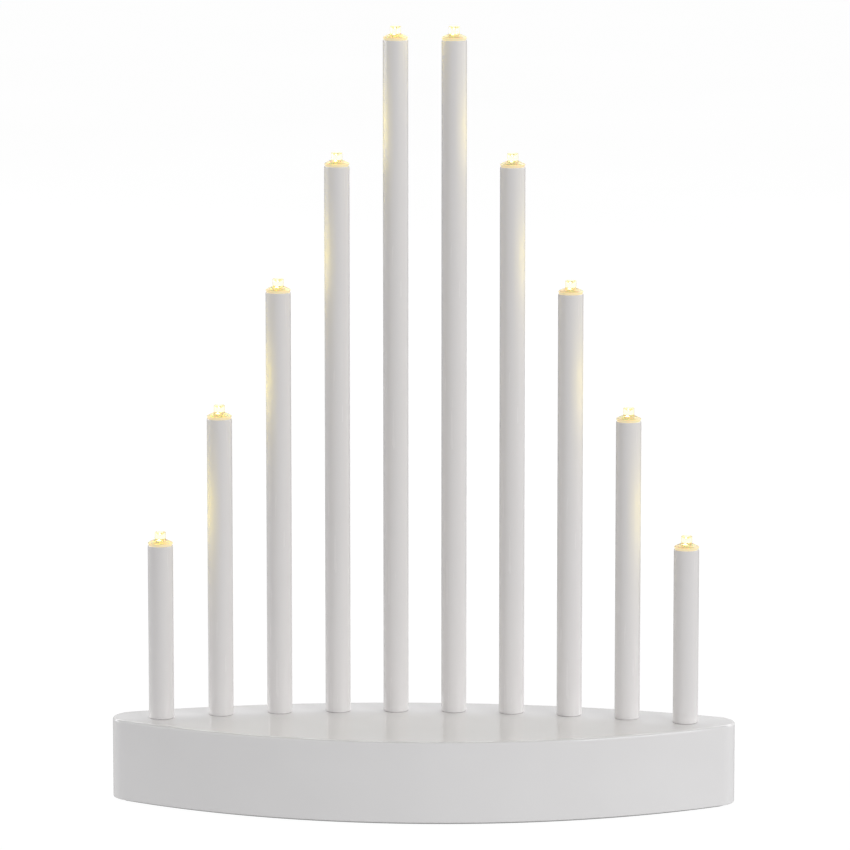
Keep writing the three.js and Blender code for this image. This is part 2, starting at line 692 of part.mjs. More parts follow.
function timerChip() {
  const x = SWITCH_X + CHIP_DX;
  const y = SWITCH_Y + CHIP_DY;
  const body = block([x - CHIP_LENGTH / 2, x + CHIP_LENGTH / 2],
    [y - CHIP_WIDTH / 2, y + CHIP_WIDTH / 2], [BOARD_TOP, BOARD_TOP + CHIP_HEIGHT]);
  const legs = [];
  for (let i = 0; i < CHIP_LEGS; i++) {
    const legX = x + (i - (CHIP_LEGS - 1) / 2) * CHIP_LENGTH / CHIP_LEGS;
    const reach = CHIP_WIDTH / 2 + CHIP_LEG_REACH;
    legs.push(block([legX - CHIP_LEG_WIDTH / 2, legX + CHIP_LEG_WIDTH / 2],
      [y - reach, y + reach], [BOARD_TOP, BOARD_TOP + CHIP_LEG_THICKNESS]));
  }
  return joined(solidOf(body), legs);
}

function slideSwitch() {
  const can = block([SWITCH_X - SWITCH_LENGTH / 2, SWITCH_X + SWITCH_LENGTH / 2],
    [SWITCH_Y - SWITCH_WIDTH / 2, SWITCH_Y + SWITCH_WIDTH / 2], [SWITCH_BOTTOM, BOARD_BOTTOM]);
  const slotX = (ACTUATOR_LENGTH + SWITCH_TRAVEL) / 2 + FIT;
  const slotY = ACTUATOR_WIDTH / 2 + FIT;
  const slot = block([SWITCH_X - slotX, SWITCH_X + slotX], [SWITCH_Y - slotY, SWITCH_Y + slotY],
    [0, KNOB_FLANGE_TOP + ACTUATOR_HEIGHT + FIT]);
  return cut(solidOf(can), [slot]);
}

// The knob rests at the left end of its travel, which is ON
function switchKnob() {
  const x = SWITCH_X - SWITCH_TRAVEL / 2;
  const about = (middle, half) => [middle - half, middle + half];
  const flange = block(about(x, KNOB_FLANGE_HALF_LENGTH), about(SWITCH_Y, KNOB_FLANGE_HALF_WIDTH),
    [KNOB_FLANGE_BOTTOM, KNOB_FLANGE_TOP]);
  const finger = block(about(x, KNOB_LENGTH / 2), about(SWITCH_Y, KNOB_WIDTH / 2),
    [COVER_BOTTOM - KNOB_STAND_OUT, KNOB_FLANGE_TOP]);
  const actuator = block(about(x, ACTUATOR_LENGTH / 2), about(SWITCH_Y, ACTUATOR_WIDTH / 2),
    [KNOB_FLANGE_BOTTOM, KNOB_FLANGE_TOP + ACTUATOR_HEIGHT]);
  const notches = [-1, 0, 1].map((step) => block(
    about(x + step * KNOB_LENGTH / 3, KNOB_NOTCH / 2), about(SWITCH_Y, KNOB_WIDTH),
    [0, COVER_BOTTOM - KNOB_STAND_OUT + KNOB_NOTCH]));
  return cut(joined(solidOf(flange), [finger, actuator]), notches);
}

// Wiring
function batteryLead(from, to) {
  const path = new THREE.CatmullRomCurve3([
    from,
    from.clone().add(new THREE.Vector3(LEAD_EXIT, 0, 0)),
    to.clone().add(new THREE.Vector3(-LEAD_ENTRY, 0, LEAD_ENTRY_RISE)),
    to,
  ]);
  return sweep(discShape(LEAD_RADIUS, TINY_SIDES), path, LEAD_STEPS);
}

function leadStart(y) {
  const x = BAY_END + BAY_WALL + TAB_REACH + FIT;
  return new THREE.Vector3(x, y, CELL_Z + TAB_RISE + CONTACT_THICKNESS / 2);
}

function leadEnd(dy) {
  const x = SWITCH_X - BOARD_LENGTH / 2 + POST_INSET;
  return new THREE.Vector3(x, SWITCH_Y + dy, BOARD_TOP + FIT + LEAD_RADIUS);
}

class CandleArc extends THREE.Curve {
  getPoint(t, target = new THREE.Vector3()) {
    const x = THREE.MathUtils.lerp(CANDLES[0].x, CANDLES.at(-1).x, t);
    return target.set(x, candleY(x), BUS_Z);
  }
}

function twinShape() {
  const round = TWIN_THICKNESS / 2;
  const half = TWIN_WIDTH / 2 - round;
  const shape = new THREE.Shape();
  shape.absarc(half, 0, round, -Math.PI / 2, Math.PI / 2, false);
  shape.absarc(-half, 0, round, Math.PI / 2, 3 * Math.PI / 2, false);
  return shape;
}

function ledHarness() {
  const bus = solidOf(sweep(twinShape(), new CandleArc(), BUS_STEPS));
  const pieces = CANDLES.map(({ x, y, rim }) => {
    const top = rim - LED_SEAT_DEPTH - LED_FLANGE_HEIGHT - LED_LEG_LENGTH - FIT;
    return new THREE.ExtrudeGeometry(twinShape(), {
      depth: top - BUS_Z, bevelEnabled: false, curveSegments: TWIN_STEPS,
    }).translate(x, y, BUS_Z);
  });
  const tailX = SWITCH_X - BOARD_LENGTH / 4;
  const boardEdge = SWITCH_Y + BOARD_WIDTH / 2;
  const onBoard = BOARD_TOP + FIT + TWIN_WIDTH / 2;
  const tail = new THREE.CatmullRomCurve3([
    new THREE.Vector3(tailX, candleY(tailX), BUS_Z),
    new THREE.Vector3(tailX, boardEdge + TAIL_REACH, BUS_Z + TAIL_RISE),
    new THREE.Vector3(tailX, boardEdge, onBoard + TAIL_RISE),
    new THREE.Vector3(tailX, boardEdge - TAIL_REACH, onBoard),
  ]);
  return joined(bus, [...pieces, sweep(twinShape(), tail, LEAD_STEPS)]);
}

// Candle pieces, each drawn about its own axis with the tube's rim at height zero
function tube(length) {
  const inner = TUBE_RADIUS - TUBE_WALL;
  return turnedRing([
    [inner, -length],
    [TUBE_RADIUS, -length],
    [TUBE_RADIUS, -TUBE_EDGE],
    [TUBE_RADIUS - TUBE_EDGE, 0],
    [inner, 0],
  ], TUBE_SIDES);
}

function collar() {
  const bore = LED_RADIUS + FIT;
  const counterbore = LED_FLANGE_RADIUS + FIT;
  const plug = TUBE_RADIUS - TUBE_WALL - FIT;
  const shoulder = FIT - LED_SEAT_DEPTH;
  return turnedRing([
    [counterbore, -COLLAR_PLUG],
    [plug, -COLLAR_PLUG],
    [plug, 0],
    [TUBE_RADIUS, 0],
    [TUBE_RADIUS, COLLAR_FLANGE],
    [COLLAR_TOP_RADIUS, COLLAR_HEIGHT],
    [bore, COLLAR_HEIGHT],
    [bore, shoulder],
    [counterbore, shoulder],
  ], SMALL_SIDES);
}

function led() {
  const seat = -LED_SEAT_DEPTH;
  const foot = seat - LED_FLANGE_HEIGHT;
  const body = turned([
    [0, foot],
    [LED_FLANGE_RADIUS, foot],
    [LED_FLANGE_RADIUS, seat],
    [LED_RADIUS, seat],
    [LED_RADIUS, LED_STAND_OUT],
    [LED_DISH_RADIUS, LED_STAND_OUT],
    [0, LED_STAND_OUT - LED_DISH_DEPTH],
  ]);
  const legs = [-1, 1].map((side) => post(side * LED_LEG_OUT, 0, LED_LEG_RADIUS,
    [foot - LED_LEG_LENGTH, foot + LED_FLANGE_HEIGHT / 2], LEG_SIDES));
  return joined(solidOf(body), legs);
}

function foot() {
  return turned([
    [0, 0],
    [FOOT_RADIUS - FOOT_CHAMFER, 0],
    [FOOT_RADIUS, FOOT_CHAMFER],
    [FOOT_RADIUS, FOOT_HEIGHT],
    [0, FOOT_HEIGHT],
  ], TUBE_SIDES);
}

// Cover screw with its head's bearing face at height zero and its point upwards
function screw() {
  const body = solidOf(turned([
    [0, -SCREW_HEAD_HEIGHT],
    [SCREW_CROWN_RADIUS, -SCREW_HEAD_HEIGHT],
    [SCREW_HEAD_RADIUS, -SCREW_HEAD_HEIGHT / 2],
    [SCREW_HEAD_RADIUS, 0],
    [SCREW_RADIUS, 0],
    [SCREW_RADIUS, SCREW_LENGTH - SCREW_TIP],
    [0, SCREW_LENGTH],
  ]));
  const across = [-SCREW_SLOT_LENGTH / 2, SCREW_SLOT_LENGTH / 2];
  const wide = [-SCREW_SLOT_WIDTH / 2, SCREW_SLOT_WIDTH / 2];
  const deep = [-2 * SCREW_HEAD_HEIGHT, -SCREW_HEAD_HEIGHT + SCREW_SLOT_DEPTH];
  return cut(body, [block(across, wide, deep), block(wide, across, deep)]);
}

// Assembly
addPiece('base_shell', geometryOf(baseShell()), glossWhite());
addPiece('bottom_cover', geometryOf(bottomCover()), mattWhite());
addPiece('battery_door', geometryOf(batteryDoor()), mattWhite());

// The front cell's spring is at the left end, and the back cell's at the right end
const SPRING_ROOM = FIT + CONTACT_THICKNESS + SPRING_LENGTH + FIT;
const CELL_MIDDLE = -BAY_END + SPRING_ROOM + CELL_LENGTH / 2;
const cellWrap = () => material(0x2a2c30, 0.35);
addPiece('battery_1', cell(), cellWrap(), [CELL_MIDDLE, FRONT_CELL_Y, CELL_Z]);
addPiece('battery_2', cell().rotateZ(Math.PI), cellWrap(), [-CELL_MIDDLE, BACK_CELL_Y, CELL_Z]);
addPiece('contact_plate', geometryOf(contactPlate()), steel());
addPiece('contact_spring', geometryOf(contactSpring()), steel());
addPiece('contact_bridge', geometryOf(contactBridge()), steel());

addPiece('circuit_board', geometryOf(circuitBoard()), material(0x2f6b45, 0.5));
addPiece('timer_chip', geometryOf(timerChip()), material(0x202022, 0.6));
addPiece('slide_switch', geometryOf(slideSwitch()), steel());
addPiece('switch_knob', geometryOf(switchKnob()), material(0x2c2c2e, 0.5));
addPiece('battery_lead_positive', batteryLead(leadStart(FRONT_CELL_Y), leadEnd(-BOARD_WIDTH / 4)),
  material(0xb32020, 0.5));
addPiece('battery_lead_negative', batteryLead(leadStart(BACK_CELL_Y), leadEnd(0)),
  material(0x1c1c1e, 0.5));
addPiece('led_harness', geometryOf(ledHarness()), material(0xe8e8e4, 0.5));

FOOT_PLACES.forEach(([x, y], i) => {
  addPiece('foot_' + (i + 1), foot(), material(0xbfc1c3, 0.8), [x, y, 0]);
});
SCREW_PLACES.forEach(([x, y], i) => {
  addPiece('cover_screw_' + (i + 1), geometryOf(screw()), steel(), [x, y, SCREW_SEAT]);
});

for (const { label, x, y, rim } of CANDLES) {
  addPiece('candle_tube_' + label, tube(rim - TUBE_FOOT), glossWhite(), [x, y, rim]);
  addPiece('led_collar_' + label, collar(), material(0xffe9b0, 0.4), [x, y, rim]);
  addPiece('led_' + label, geometryOf(led()), material(0xfff6dc, 0.1), [x, y, rim]);
}

export default candlestick;
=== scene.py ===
"""Looks of the LED candlestick: fine surfaces, materials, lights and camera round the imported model."""

import math

import bmesh
import bpy
from mathutils import Matrix, Vector
from mathutils.geometry import tessellate_polygon


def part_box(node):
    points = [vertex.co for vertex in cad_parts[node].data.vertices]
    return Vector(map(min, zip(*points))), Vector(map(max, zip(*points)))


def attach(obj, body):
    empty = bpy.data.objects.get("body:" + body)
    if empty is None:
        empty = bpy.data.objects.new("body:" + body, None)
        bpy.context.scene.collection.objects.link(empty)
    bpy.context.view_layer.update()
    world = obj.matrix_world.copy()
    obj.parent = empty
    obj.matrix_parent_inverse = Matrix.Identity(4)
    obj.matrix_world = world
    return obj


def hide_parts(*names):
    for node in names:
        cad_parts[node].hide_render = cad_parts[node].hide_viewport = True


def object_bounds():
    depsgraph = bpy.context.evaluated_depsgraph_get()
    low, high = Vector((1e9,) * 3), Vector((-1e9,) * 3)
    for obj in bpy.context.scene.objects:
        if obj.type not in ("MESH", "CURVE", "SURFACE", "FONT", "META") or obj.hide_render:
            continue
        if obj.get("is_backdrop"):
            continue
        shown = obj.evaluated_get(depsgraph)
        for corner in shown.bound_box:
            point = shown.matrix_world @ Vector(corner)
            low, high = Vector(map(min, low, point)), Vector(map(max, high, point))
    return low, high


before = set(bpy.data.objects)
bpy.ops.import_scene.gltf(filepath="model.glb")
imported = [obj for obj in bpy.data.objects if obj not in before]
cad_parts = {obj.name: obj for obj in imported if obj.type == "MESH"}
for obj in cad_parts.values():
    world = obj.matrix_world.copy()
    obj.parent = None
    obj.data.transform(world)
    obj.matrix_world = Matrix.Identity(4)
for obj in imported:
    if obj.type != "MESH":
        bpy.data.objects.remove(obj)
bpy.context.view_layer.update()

MM = 0.001

# Camera, at the photograph's viewing angle
CAMERA_TARGET = Vector((0.0007, 0.0059, 0.1408))
CAMERA_DISTANCE = 2.0
CAMERA_AZIMUTH = math.radians(2.49)
CAMERA_ELEVATION = math.radians(8.85)
CAMERA_LENS = 231.2

# Housing shell
END_RADIUS = 9.8 * MM
END_LINE_Y = 5.9 * MM
TOP_FILLET = 1 * MM
RIM_FILLET = 0.4 * MM
SIDE_WALL = 2.4 * MM
TOP_WALL = 2.4 * MM
RIM_WALL = 1.2 * MM
COVER_STEP_HEIGHT = 4.1 * MM
EDGE_BAND = 0.15 * MM

# Sockets of the candle tubes in the shell
TUBE_FIT = 0.08 * MM
LIP_RADIUS = 0.05 * MM
SOCKET_WALL = 1.8 * MM
SOCKET_FLOOR = 1.6 * MM
WIRE_HOLE_RADIUS = 2.6 * MM

# Candle tubes, each with a rounded foot that stands on the shell and a narrower spigot below it
CANDLES = 10
TUBE_WALL = 0.8 * MM
TUBE_EDGE = 0.2 * MM
FOOT_ROUND = 0.35 * MM
SPIGOT_WALL = 0.45 * MM

# Collars and LEDs, with heights from the rim of the tube
COLLAR_PLUG = 5 * MM
COLLAR_PLUG_FIT = 0.3 * MM
COLLAR_FLANGE = 0.95 * MM
COLLAR_HEIGHT = 2 * MM
COLLAR_TOP_RADIUS = 2.9 * MM
COLLAR_BULGE = 0.18 * MM
COLLAR_EDGE = 0.12 * MM
GROOVE_HEIGHT = 0.2 * MM
GROOVE_DEPTH = 0.35 * MM
LED_RADIUS = 2 * MM
LED_FIT = 0.3 * MM
LED_FLANGE_RADIUS = 2.4 * MM
LED_FLANGE_HEIGHT = 1 * MM
LED_SEAT_DEPTH = 0.4 * MM
LED_TOP = 5 * MM
LED_EDGE = 0.14 * MM
LED_DISH_RADIUS = 1.65 * MM
LED_DISH_DEPTH = 1.4 * MM
LED_DISH_CURVE = 0.85
LEG_OUT = 1.27 * MM
LEG_HALF = 0.25 * MM
LEG_LENGTH = 4 * MM

# Facets of the fine surfaces
FRONT_STEPS = 150
BACK_STEPS = 130
END_STEPS = 44
FILLET_STEPS = 8
HOLE_SIDES = 64
TUBE_SIDES = 96
SMALL_SIDES = 64
SCREW_SIDES = 32
DIMPLE_SIDES = 32
DIMPLE_STEPS = 8
EDGE_STEPS = 4
COIL_SIDES = 12
COIL_STEPS = 32
BEVEL_ANGLE = math.radians(60)
BEVEL_SEGMENTS = 2
SHARP_ANGLE = 35


def candle_labels():
    return [f"{i + 1:02d}" for i in range(CANDLES)]


def middle_of(node):
    low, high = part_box(node)
    return (low + high) / 2


# The camera comes before everything else
def add_camera():
    turn, lift = CAMERA_AZIMUTH, CAMERA_ELEVATION
    back = Vector((math.sin(turn) * math.cos(lift), -math.cos(turn) * math.cos(lift), math.sin(lift)))
    camera = bpy.data.objects.new("camera", bpy.data.cameras.new("camera"))
    camera.data.lens = CAMERA_LENS
    camera.location = CAMERA_TARGET + CAMERA_DISTANCE * back
    camera.rotation_euler = (-back).to_track_quat("-Z", "Y").to_euler()
    bpy.context.scene.collection.objects.link(camera)
    bpy.context.scene.camera = camera


add_camera()


# Shader building. Most of a noise texture's values lie between these two
NOISE_LOW = 0.3
NOISE_HIGH = 0.7


class Finish:
    """A Principled material, and the nodes that vary it over the surface."""

    def __init__(self, name, color, roughness, **sockets):
        self.material = bpy.data.materials.new(name)
        self.material.use_nodes = True
        self.nodes = self.material.node_tree.nodes
        self.links = self.material.node_tree.links
        self.shader = self.nodes["Principled BSDF"]
        self.set("Base Color", (*color, 1))
        self.set("Roughness", roughness)
        for socket, value in sockets.items():
            self.set(socket.replace("_", " "), value)
        self.place = self.nodes.new("ShaderNodeTexCoord").outputs["Object"]

    def set(self, socket, value):
        self.shader.inputs[socket].default_value = value

    def noise(self, scale, detail=2, stretch=(1, 1, 1)):
        mapping = self.nodes.new("ShaderNodeMapping")
        mapping.inputs["Scale"].default_value = stretch
        self.links.new(self.place, mapping.inputs["Vector"])
        texture = self.nodes.new("ShaderNodeTexNoise")
        texture.inputs["Scale"].default_value = scale
        texture.inputs["Detail"].default_value = detail
        self.links.new(mapping.outputs["Vector"], texture.inputs["Vector"])
        return texture.outputs["Fac"]

    def ranged(self, value, low, high, start=NOISE_LOW, end=NOISE_HIGH):
        node = self.nodes.new("ShaderNodeMapRange")
        for socket, number in zip(("From Min", "From Max", "To Min", "To Max"), (start, end, low, high)):
            node.inputs[socket].default_value = number
        self.links.new(value, node.inputs["Value"])
        return node.outputs["Result"]

    def vary_color(self, value, dark, light):
        node = self.nodes.new("ShaderNodeMix")
        node.data_type = "RGBA"
        node.inputs["A"].default_value = (*dark, 1)
        node.inputs["B"].default_value = (*light, 1)
        self.links.new(self.ranged(value, 0, 1), node.inputs["Factor"])
        self.links.new(node.outputs["Result"], self.shader.inputs["Base Color"])

    def vary_roughness(self, value, low, high):
        self.links.new(self.ranged(value, low, high), self.shader.inputs["Roughness"])

    def bump(self, value, depth, under=None):
        node = self.nodes.new("ShaderNodeBump")
        node.inputs["Distance"].default_value = depth
        self.links.new(value, node.inputs["Height"])
        if under:
            self.links.new(under, node.inputs["Normal"])
        self.links.new(node.outputs["Normal"], self.shader.inputs["Normal"])
        return node.outputs["Normal"]


# Light that an LED gives off, and the painted glow of its collar, which stands in for the LED's light showing
# through the collar. The collar's painted glow is strong on its upright edge and fades above it
BAND_PAINTED_GLOW = 0.42
SLOPE_PAINTED_GLOW = 0.03
BAND_FADE = 0.2 * MM
RESIN_GLOW = 0.14
CHIP_GLOW_LOW = 5
CHIP_GLOW_HIGH = 7

# How far colour and roughness vary, as shares of their values
SPARK_SHADE = 0.93
METAL_SHADE = 0.88
METAL_SMOOTHER = 0.8
METAL_ROUGHER = 1.3
PLASTIC_SHADE = 0.86
PLASTIC_SMOOTHER = 0.85
PLASTIC_ROUGHER = 1.2


def shade(color, share):
    return tuple(share * c for c in color)


def gloss_shell():
    finish = Finish("gloss_shell", color=(0.8, 0.79, 0.793), roughness=0.03)
    finish.vary_color(finish.noise(scale=35), dark=(0.788, 0.778, 0.781), light=(0.808, 0.799, 0.802))
    finish.vary_roughness(finish.noise(scale=900, detail=3), low=0.015, high=0.035)
    peel = finish.bump(finish.noise(scale=260), depth=0.0008 * MM)
    finish.bump(finish.noise(scale=2600, detail=3), depth=0.0001 * MM, under=peel)
    return finish.material


def gloss_tube():
    finish = Finish("gloss_tube", color=(0.776, 0.756, 0.752), roughness=0.24)
    finish.vary_color(finish.noise(scale=25, stretch=(1, 1, 0.2)), dark=(0.764, 0.744, 0.74),
                      light=(0.784, 0.766, 0.762))
    finish.vary_roughness(finish.noise(scale=700, detail=3, stretch=(1, 1, 0.05)), low=0.21, high=0.28)
    drawn = finish.bump(finish.noise(scale=900, stretch=(1, 1, 0.01)), depth=0.0005 * MM)
    finish.bump(finish.noise(scale=300), depth=0.0015 * MM, under=drawn)
    return finish.material


def spark_texture(name, color, depth):
    finish = Finish(name, color, roughness=0.5)
    finish.vary_color(finish.noise(scale=60, detail=3), shade(color, SPARK_SHADE), color)
    finish.vary_roughness(finish.noise(scale=1500), low=0.42, high=0.58)
    finish.bump(finish.noise(scale=3600, detail=4), depth)
    return finish.material


def painted_glow_collar():
    """Painted glow: emission stands in for the LED's light inside the collar, strong on its upright edge and
    hardly on its slope.
    """
    finish = Finish("painted_glow_collar", color=(0.62, 0.54, 0.38), roughness=0.35, Subsurface_Weight=0.3,
                    Subsurface_Scale=1 * MM)
    finish.set("Emission Color", (1, 0.83, 0.42, 1))
    height = finish.nodes.new("ShaderNodeSeparateXYZ")
    finish.links.new(finish.place, height.inputs["Vector"])
    # Painted glow, from strong on the upright edge to faint on the slope
    glow = finish.ranged(height.outputs["Z"], BAND_PAINTED_GLOW, SLOPE_PAINTED_GLOW, start=COLLAR_FLANGE,
                         end=COLLAR_FLANGE + BAND_FADE)
    finish.links.new(glow, finish.shader.inputs["Emission Strength"])
    finish.vary_roughness(finish.noise(scale=1200, detail=3), low=0.28, high=0.45)
    finish.bump(finish.noise(scale=900), depth=0.004 * MM)
    return finish.material


def clear_resin():
    """Clear, with a little light of its own in place of what the resin scatters."""
    finish = Finish("clear_resin", color=(1, 0.95, 0.72), roughness=0.03, IOR=1.52, Transmission_Weight=1)
    finish.set("Emission Color", (1, 0.9, 0.55, 1))
    finish.set("Emission Strength", RESIN_GLOW)
    finish.vary_roughness(finish.noise(scale=600), low=0.01, high=0.05)
    finish.bump(finish.noise(scale=500), depth=0.002 * MM)
    return finish.material


def glowing_chip():
    finish = Finish("glowing_chip", color=(1, 0.8, 0.3), roughness=0.5)
    finish.set("Emission Color", (1, 0.8, 0.42, 1))
    glow = finish.ranged(finish.noise(scale=4000), CHIP_GLOW_LOW, CHIP_GLOW_HIGH)
    finish.links.new(glow, finish.shader.inputs["Emission Strength"])
    return finish.material


def metal(name, color, roughness, stretch=(1, 1, 1)):
    finish = Finish(name, color, roughness, Metallic=1)
    finish.vary_color(finish.noise(scale=150, detail=3), shade(color, METAL_SHADE), color)
    finish.vary_roughness(finish.noise(scale=1800, detail=3, stretch=stretch),
                          METAL_SMOOTHER * roughness, METAL_ROUGHER * roughness)
    finish.bump(finish.noise(scale=2600, stretch=stretch), depth=0.003 * MM)
    return finish.material


def soft_plastic(name, color, roughness=0.45, depth=0.006 * MM, grain=1800, **sockets):
    finish = Finish(name, color, roughness, **sockets)
    finish.vary_color(finish.noise(scale=120, detail=3), shade(color, PLASTIC_SHADE), color)
    finish.vary_roughness(finish.noise(grain), PLASTIC_SMOOTHER * roughness, PLASTIC_ROUGHER * roughness)
    finish.bump(finish.noise(grain, detail=3), depth)
    return finish.material


SHELL = gloss_shell()
TUBE = gloss_tube()
COVER = spark_texture("spark_cover", (0.72, 0.715, 0.715), depth=0.02 * MM)
DOOR = spark_texture("spark_door", (0.74, 0.735, 0.735), depth=0.025 * MM)
COLLAR = painted_glow_collar()
RESIN = clear_resin()
CHIP = glowing_chip()
PLATED = metal("plated_steel", (0.75, 0.75, 0.76), roughness=0.25, stretch=(1, 0.05, 1))
ZINC = metal("zinc_steel", (0.68, 0.69, 0.7), roughness=0.3)
CAN_STEEL = metal("can_steel", (0.7, 0.71, 0.72), roughness=0.3, stretch=(0.05, 1, 1))
SLEEVE = soft_plastic("cell_sleeve", (0.08, 0.085, 0.095), roughness=0.3, depth=0.002 * MM, grain=500)
BAND = soft_plastic("cell_band", (0.62, 0.36, 0.12), roughness=0.28, depth=0.002 * MM, grain=500,
                    Metallic=0.6)
NICKEL = metal("cell_nickel", (0.78, 0.77, 0.74), roughness=0.22)
BOARD = soft_plastic("solder_mask", (0.05, 0.2, 0.08), roughness=0.35, depth=0.01 * MM, grain=700)
PACKAGE = soft_plastic("chip_package", (0.03, 0.03, 0.033), roughness=0.6, depth=0.01 * MM, grain=4000)
KNOB = soft_plastic("knob_plastic", (0.035, 0.035, 0.038), roughness=0.4, depth=0.008 * MM, grain=2600)
RED_WIRE = soft_plastic("red_insulation", (0.55, 0.03, 0.02))
BLACK_WIRE = soft_plastic("black_insulation", (0.025, 0.025, 0.028))
WHITE_WIRE = soft_plastic("white_insulation", (0.78, 0.78, 0.75))
FOOT = soft_plastic("soft_foot", (0.5, 0.5, 0.51), roughness=0.6, depth=0.01 * MM, grain=2200,
                    Subsurface_Weight=0.2, Subsurface_Scale=2 * MM)


# Mesh building
class Surface:
    """Vertices and faces of one closed piece, made of loops of points."""

    def __init__(self):
        self.points = []
        self.faces = []

    def loop(self, points):
        start = len(self.points)
        self.points.extend(points)
        return list(range(start, len(self.points)))

    def bridge(self, a, b):
        count = len(a)
        for i in range(count):
            j = (i + 1) % count
            self.faces.append((a[i], a[j], b[j], b[i]))

    def bridges(self, loops):
        for a, b in zip(loops, loops[1:]):
            self.bridge(a, b)

    def fan(self, loop, point):
        (tip,) = self.loop([point])
        count = len(loop)
        for i in range(count):
            self.faces.append((loop[i], loop[(i + 1) % count], tip))

    def fill(self, outer, holes=()):
        loops = [outer, *holes]
        flat = [index for loop in loops for index in loop]
        outlines = [[Vector(self.points[index]) for index in loop] for loop in loops]
        for triangle in tessellate_polygon(outlines):
            self.faces.append(tuple(flat[corner] for corner in triangle))

    def lathe(self, profile, sides, closed=False, turn=Matrix()):
        """Turns [radius, height] pairs about the Z axis; a radius of 0 is a point on the axis."""
        loops = []
        for radius, height in profile:
            if radius == 0:
                loops.append(turn @ Vector((0, 0, height)))
            else:
                loops.append(self.loop([turn @ Vector(p) for p in circle(0, 0, height, radius, sides)]))
        pairs = list(zip(loops, loops[1:]))
        if closed:
            pairs.append((loops[-1], loops[0]))
        for a, b in pairs:
            if isinstance(a, Vector):
                self.fan(b, a)
            elif isinstance(b, Vector):
                self.fan(a, b)
            else:
                self.bridge(a, b)

    def mesh(self, name, sharp=SHARP_ANGLE, bevel=0):
        """Edges sharper than sharp, in degrees, stay sharp; bevel is a width."""
        mesh = bpy.data.meshes.new(name)
        mesh.from_pydata([tuple(p) for p in self.points], [], self.faces)
        work = bmesh.new()
        work.from_mesh(mesh)
        bmesh.ops.recalc_face_normals(work, faces=work.faces)
        if bevel:
            edges = [edge for edge in work.edges if edge.calc_face_angle(0) > BEVEL_ANGLE]
            bmesh.ops.bevel(work, geom=edges, offset=bevel, segments=BEVEL_SEGMENTS, profile=0.5,
                            affect="EDGES")
        work.to_mesh(mesh)
        work.free()
        mesh.shade_smooth()
        mesh.set_sharp_from_angle(angle=math.radians(sharp))
        return mesh


def circle(x, y, z, radius, sides):
    points = []
    for i in range(sides):
        angle = 2 * math.pi * i / sides
        points.append((x + radius * math.cos(angle), y + radius * math.sin(angle), z))
    return points


def round_edge(radius, height, edge, start, steps=EDGE_STEPS):
    """Profile points of a quarter round about (radius, height), from the angle start in quarter turns."""
    points = []
    for i in range(steps + 1):
        angle = math.pi / 2 * (start + i / steps)
        points.append((radius + edge * math.cos(angle), height + edge * math.sin(angle)))
    return points


def add_piece(name, mesh, material, nodes=(), place=(0, 0, 0)):
    """A piece of the housing; pieces may share a mesh."""
    piece = bpy.data.objects.new(name, mesh)
    piece.location = place
    bpy.context.scene.collection.objects.link(piece)
    if not mesh.materials:
        mesh.materials.append(material)
    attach(piece, "housing")
    if nodes:
        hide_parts(*nodes)


# Housing shell
shell_low, shell_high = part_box("base_shell")
first_tube_low, first_tube_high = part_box("candle_tube_01")
HALF_LENGTH = shell_high.x
SHELL_TOP = shell_high.z
SHELL_BOTTOM = shell_low.z
CEILING = SHELL_TOP - TOP_WALL
TUBE_FOOT = first_tube_low.z
TUBE_RADIUS = (first_tube_high.x - first_tube_low.x) / 2
HALF_SPAN = HALF_LENGTH - END_RADIUS


def arc_over(bulge):
    """Radius of an arc that bulges from the span, its centre's distance from the span, and its ends' tilt."""
    radius = (HALF_SPAN ** 2 + bulge ** 2) / (2 * bulge)
    offset = radius - bulge
    return radius, offset, math.atan2(offset, HALF_SPAN)


FRONT = arc_over(END_LINE_Y - shell_low.y - END_RADIUS)
BACK = arc_over(shell_high.y - END_RADIUS - END_LINE_Y)


def lens_outline(inset, z):
    """Points of the housing's plan at the height z, set in from its outside by inset."""
    end = END_RADIUS - inset
    front_radius, front_offset, front_tilt = FRONT
    back_radius, back_offset, back_tilt = BACK
    half_turn = math.pi
    arcs = [
        (HALF_SPAN, END_LINE_Y, end, -front_tilt, back_tilt, END_STEPS),
        (0, END_LINE_Y - back_offset, back_radius + end, back_tilt, half_turn - back_tilt, BACK_STEPS),
        (-HALF_SPAN, END_LINE_Y, end, half_turn - back_tilt, half_turn + front_tilt, END_STEPS),
        (0, END_LINE_Y + front_offset, front_radius + end, half_turn + front_tilt, 2 * half_turn - front_tilt,
         FRONT_STEPS),
    ]
    points = []
    for x, y, radius, start, end_angle, steps in arcs:
        for i in range(steps):
            angle = start + (end_angle - start) * i / steps
            points.append((x + radius * math.cos(angle), y + radius * math.sin(angle), z))
    return points


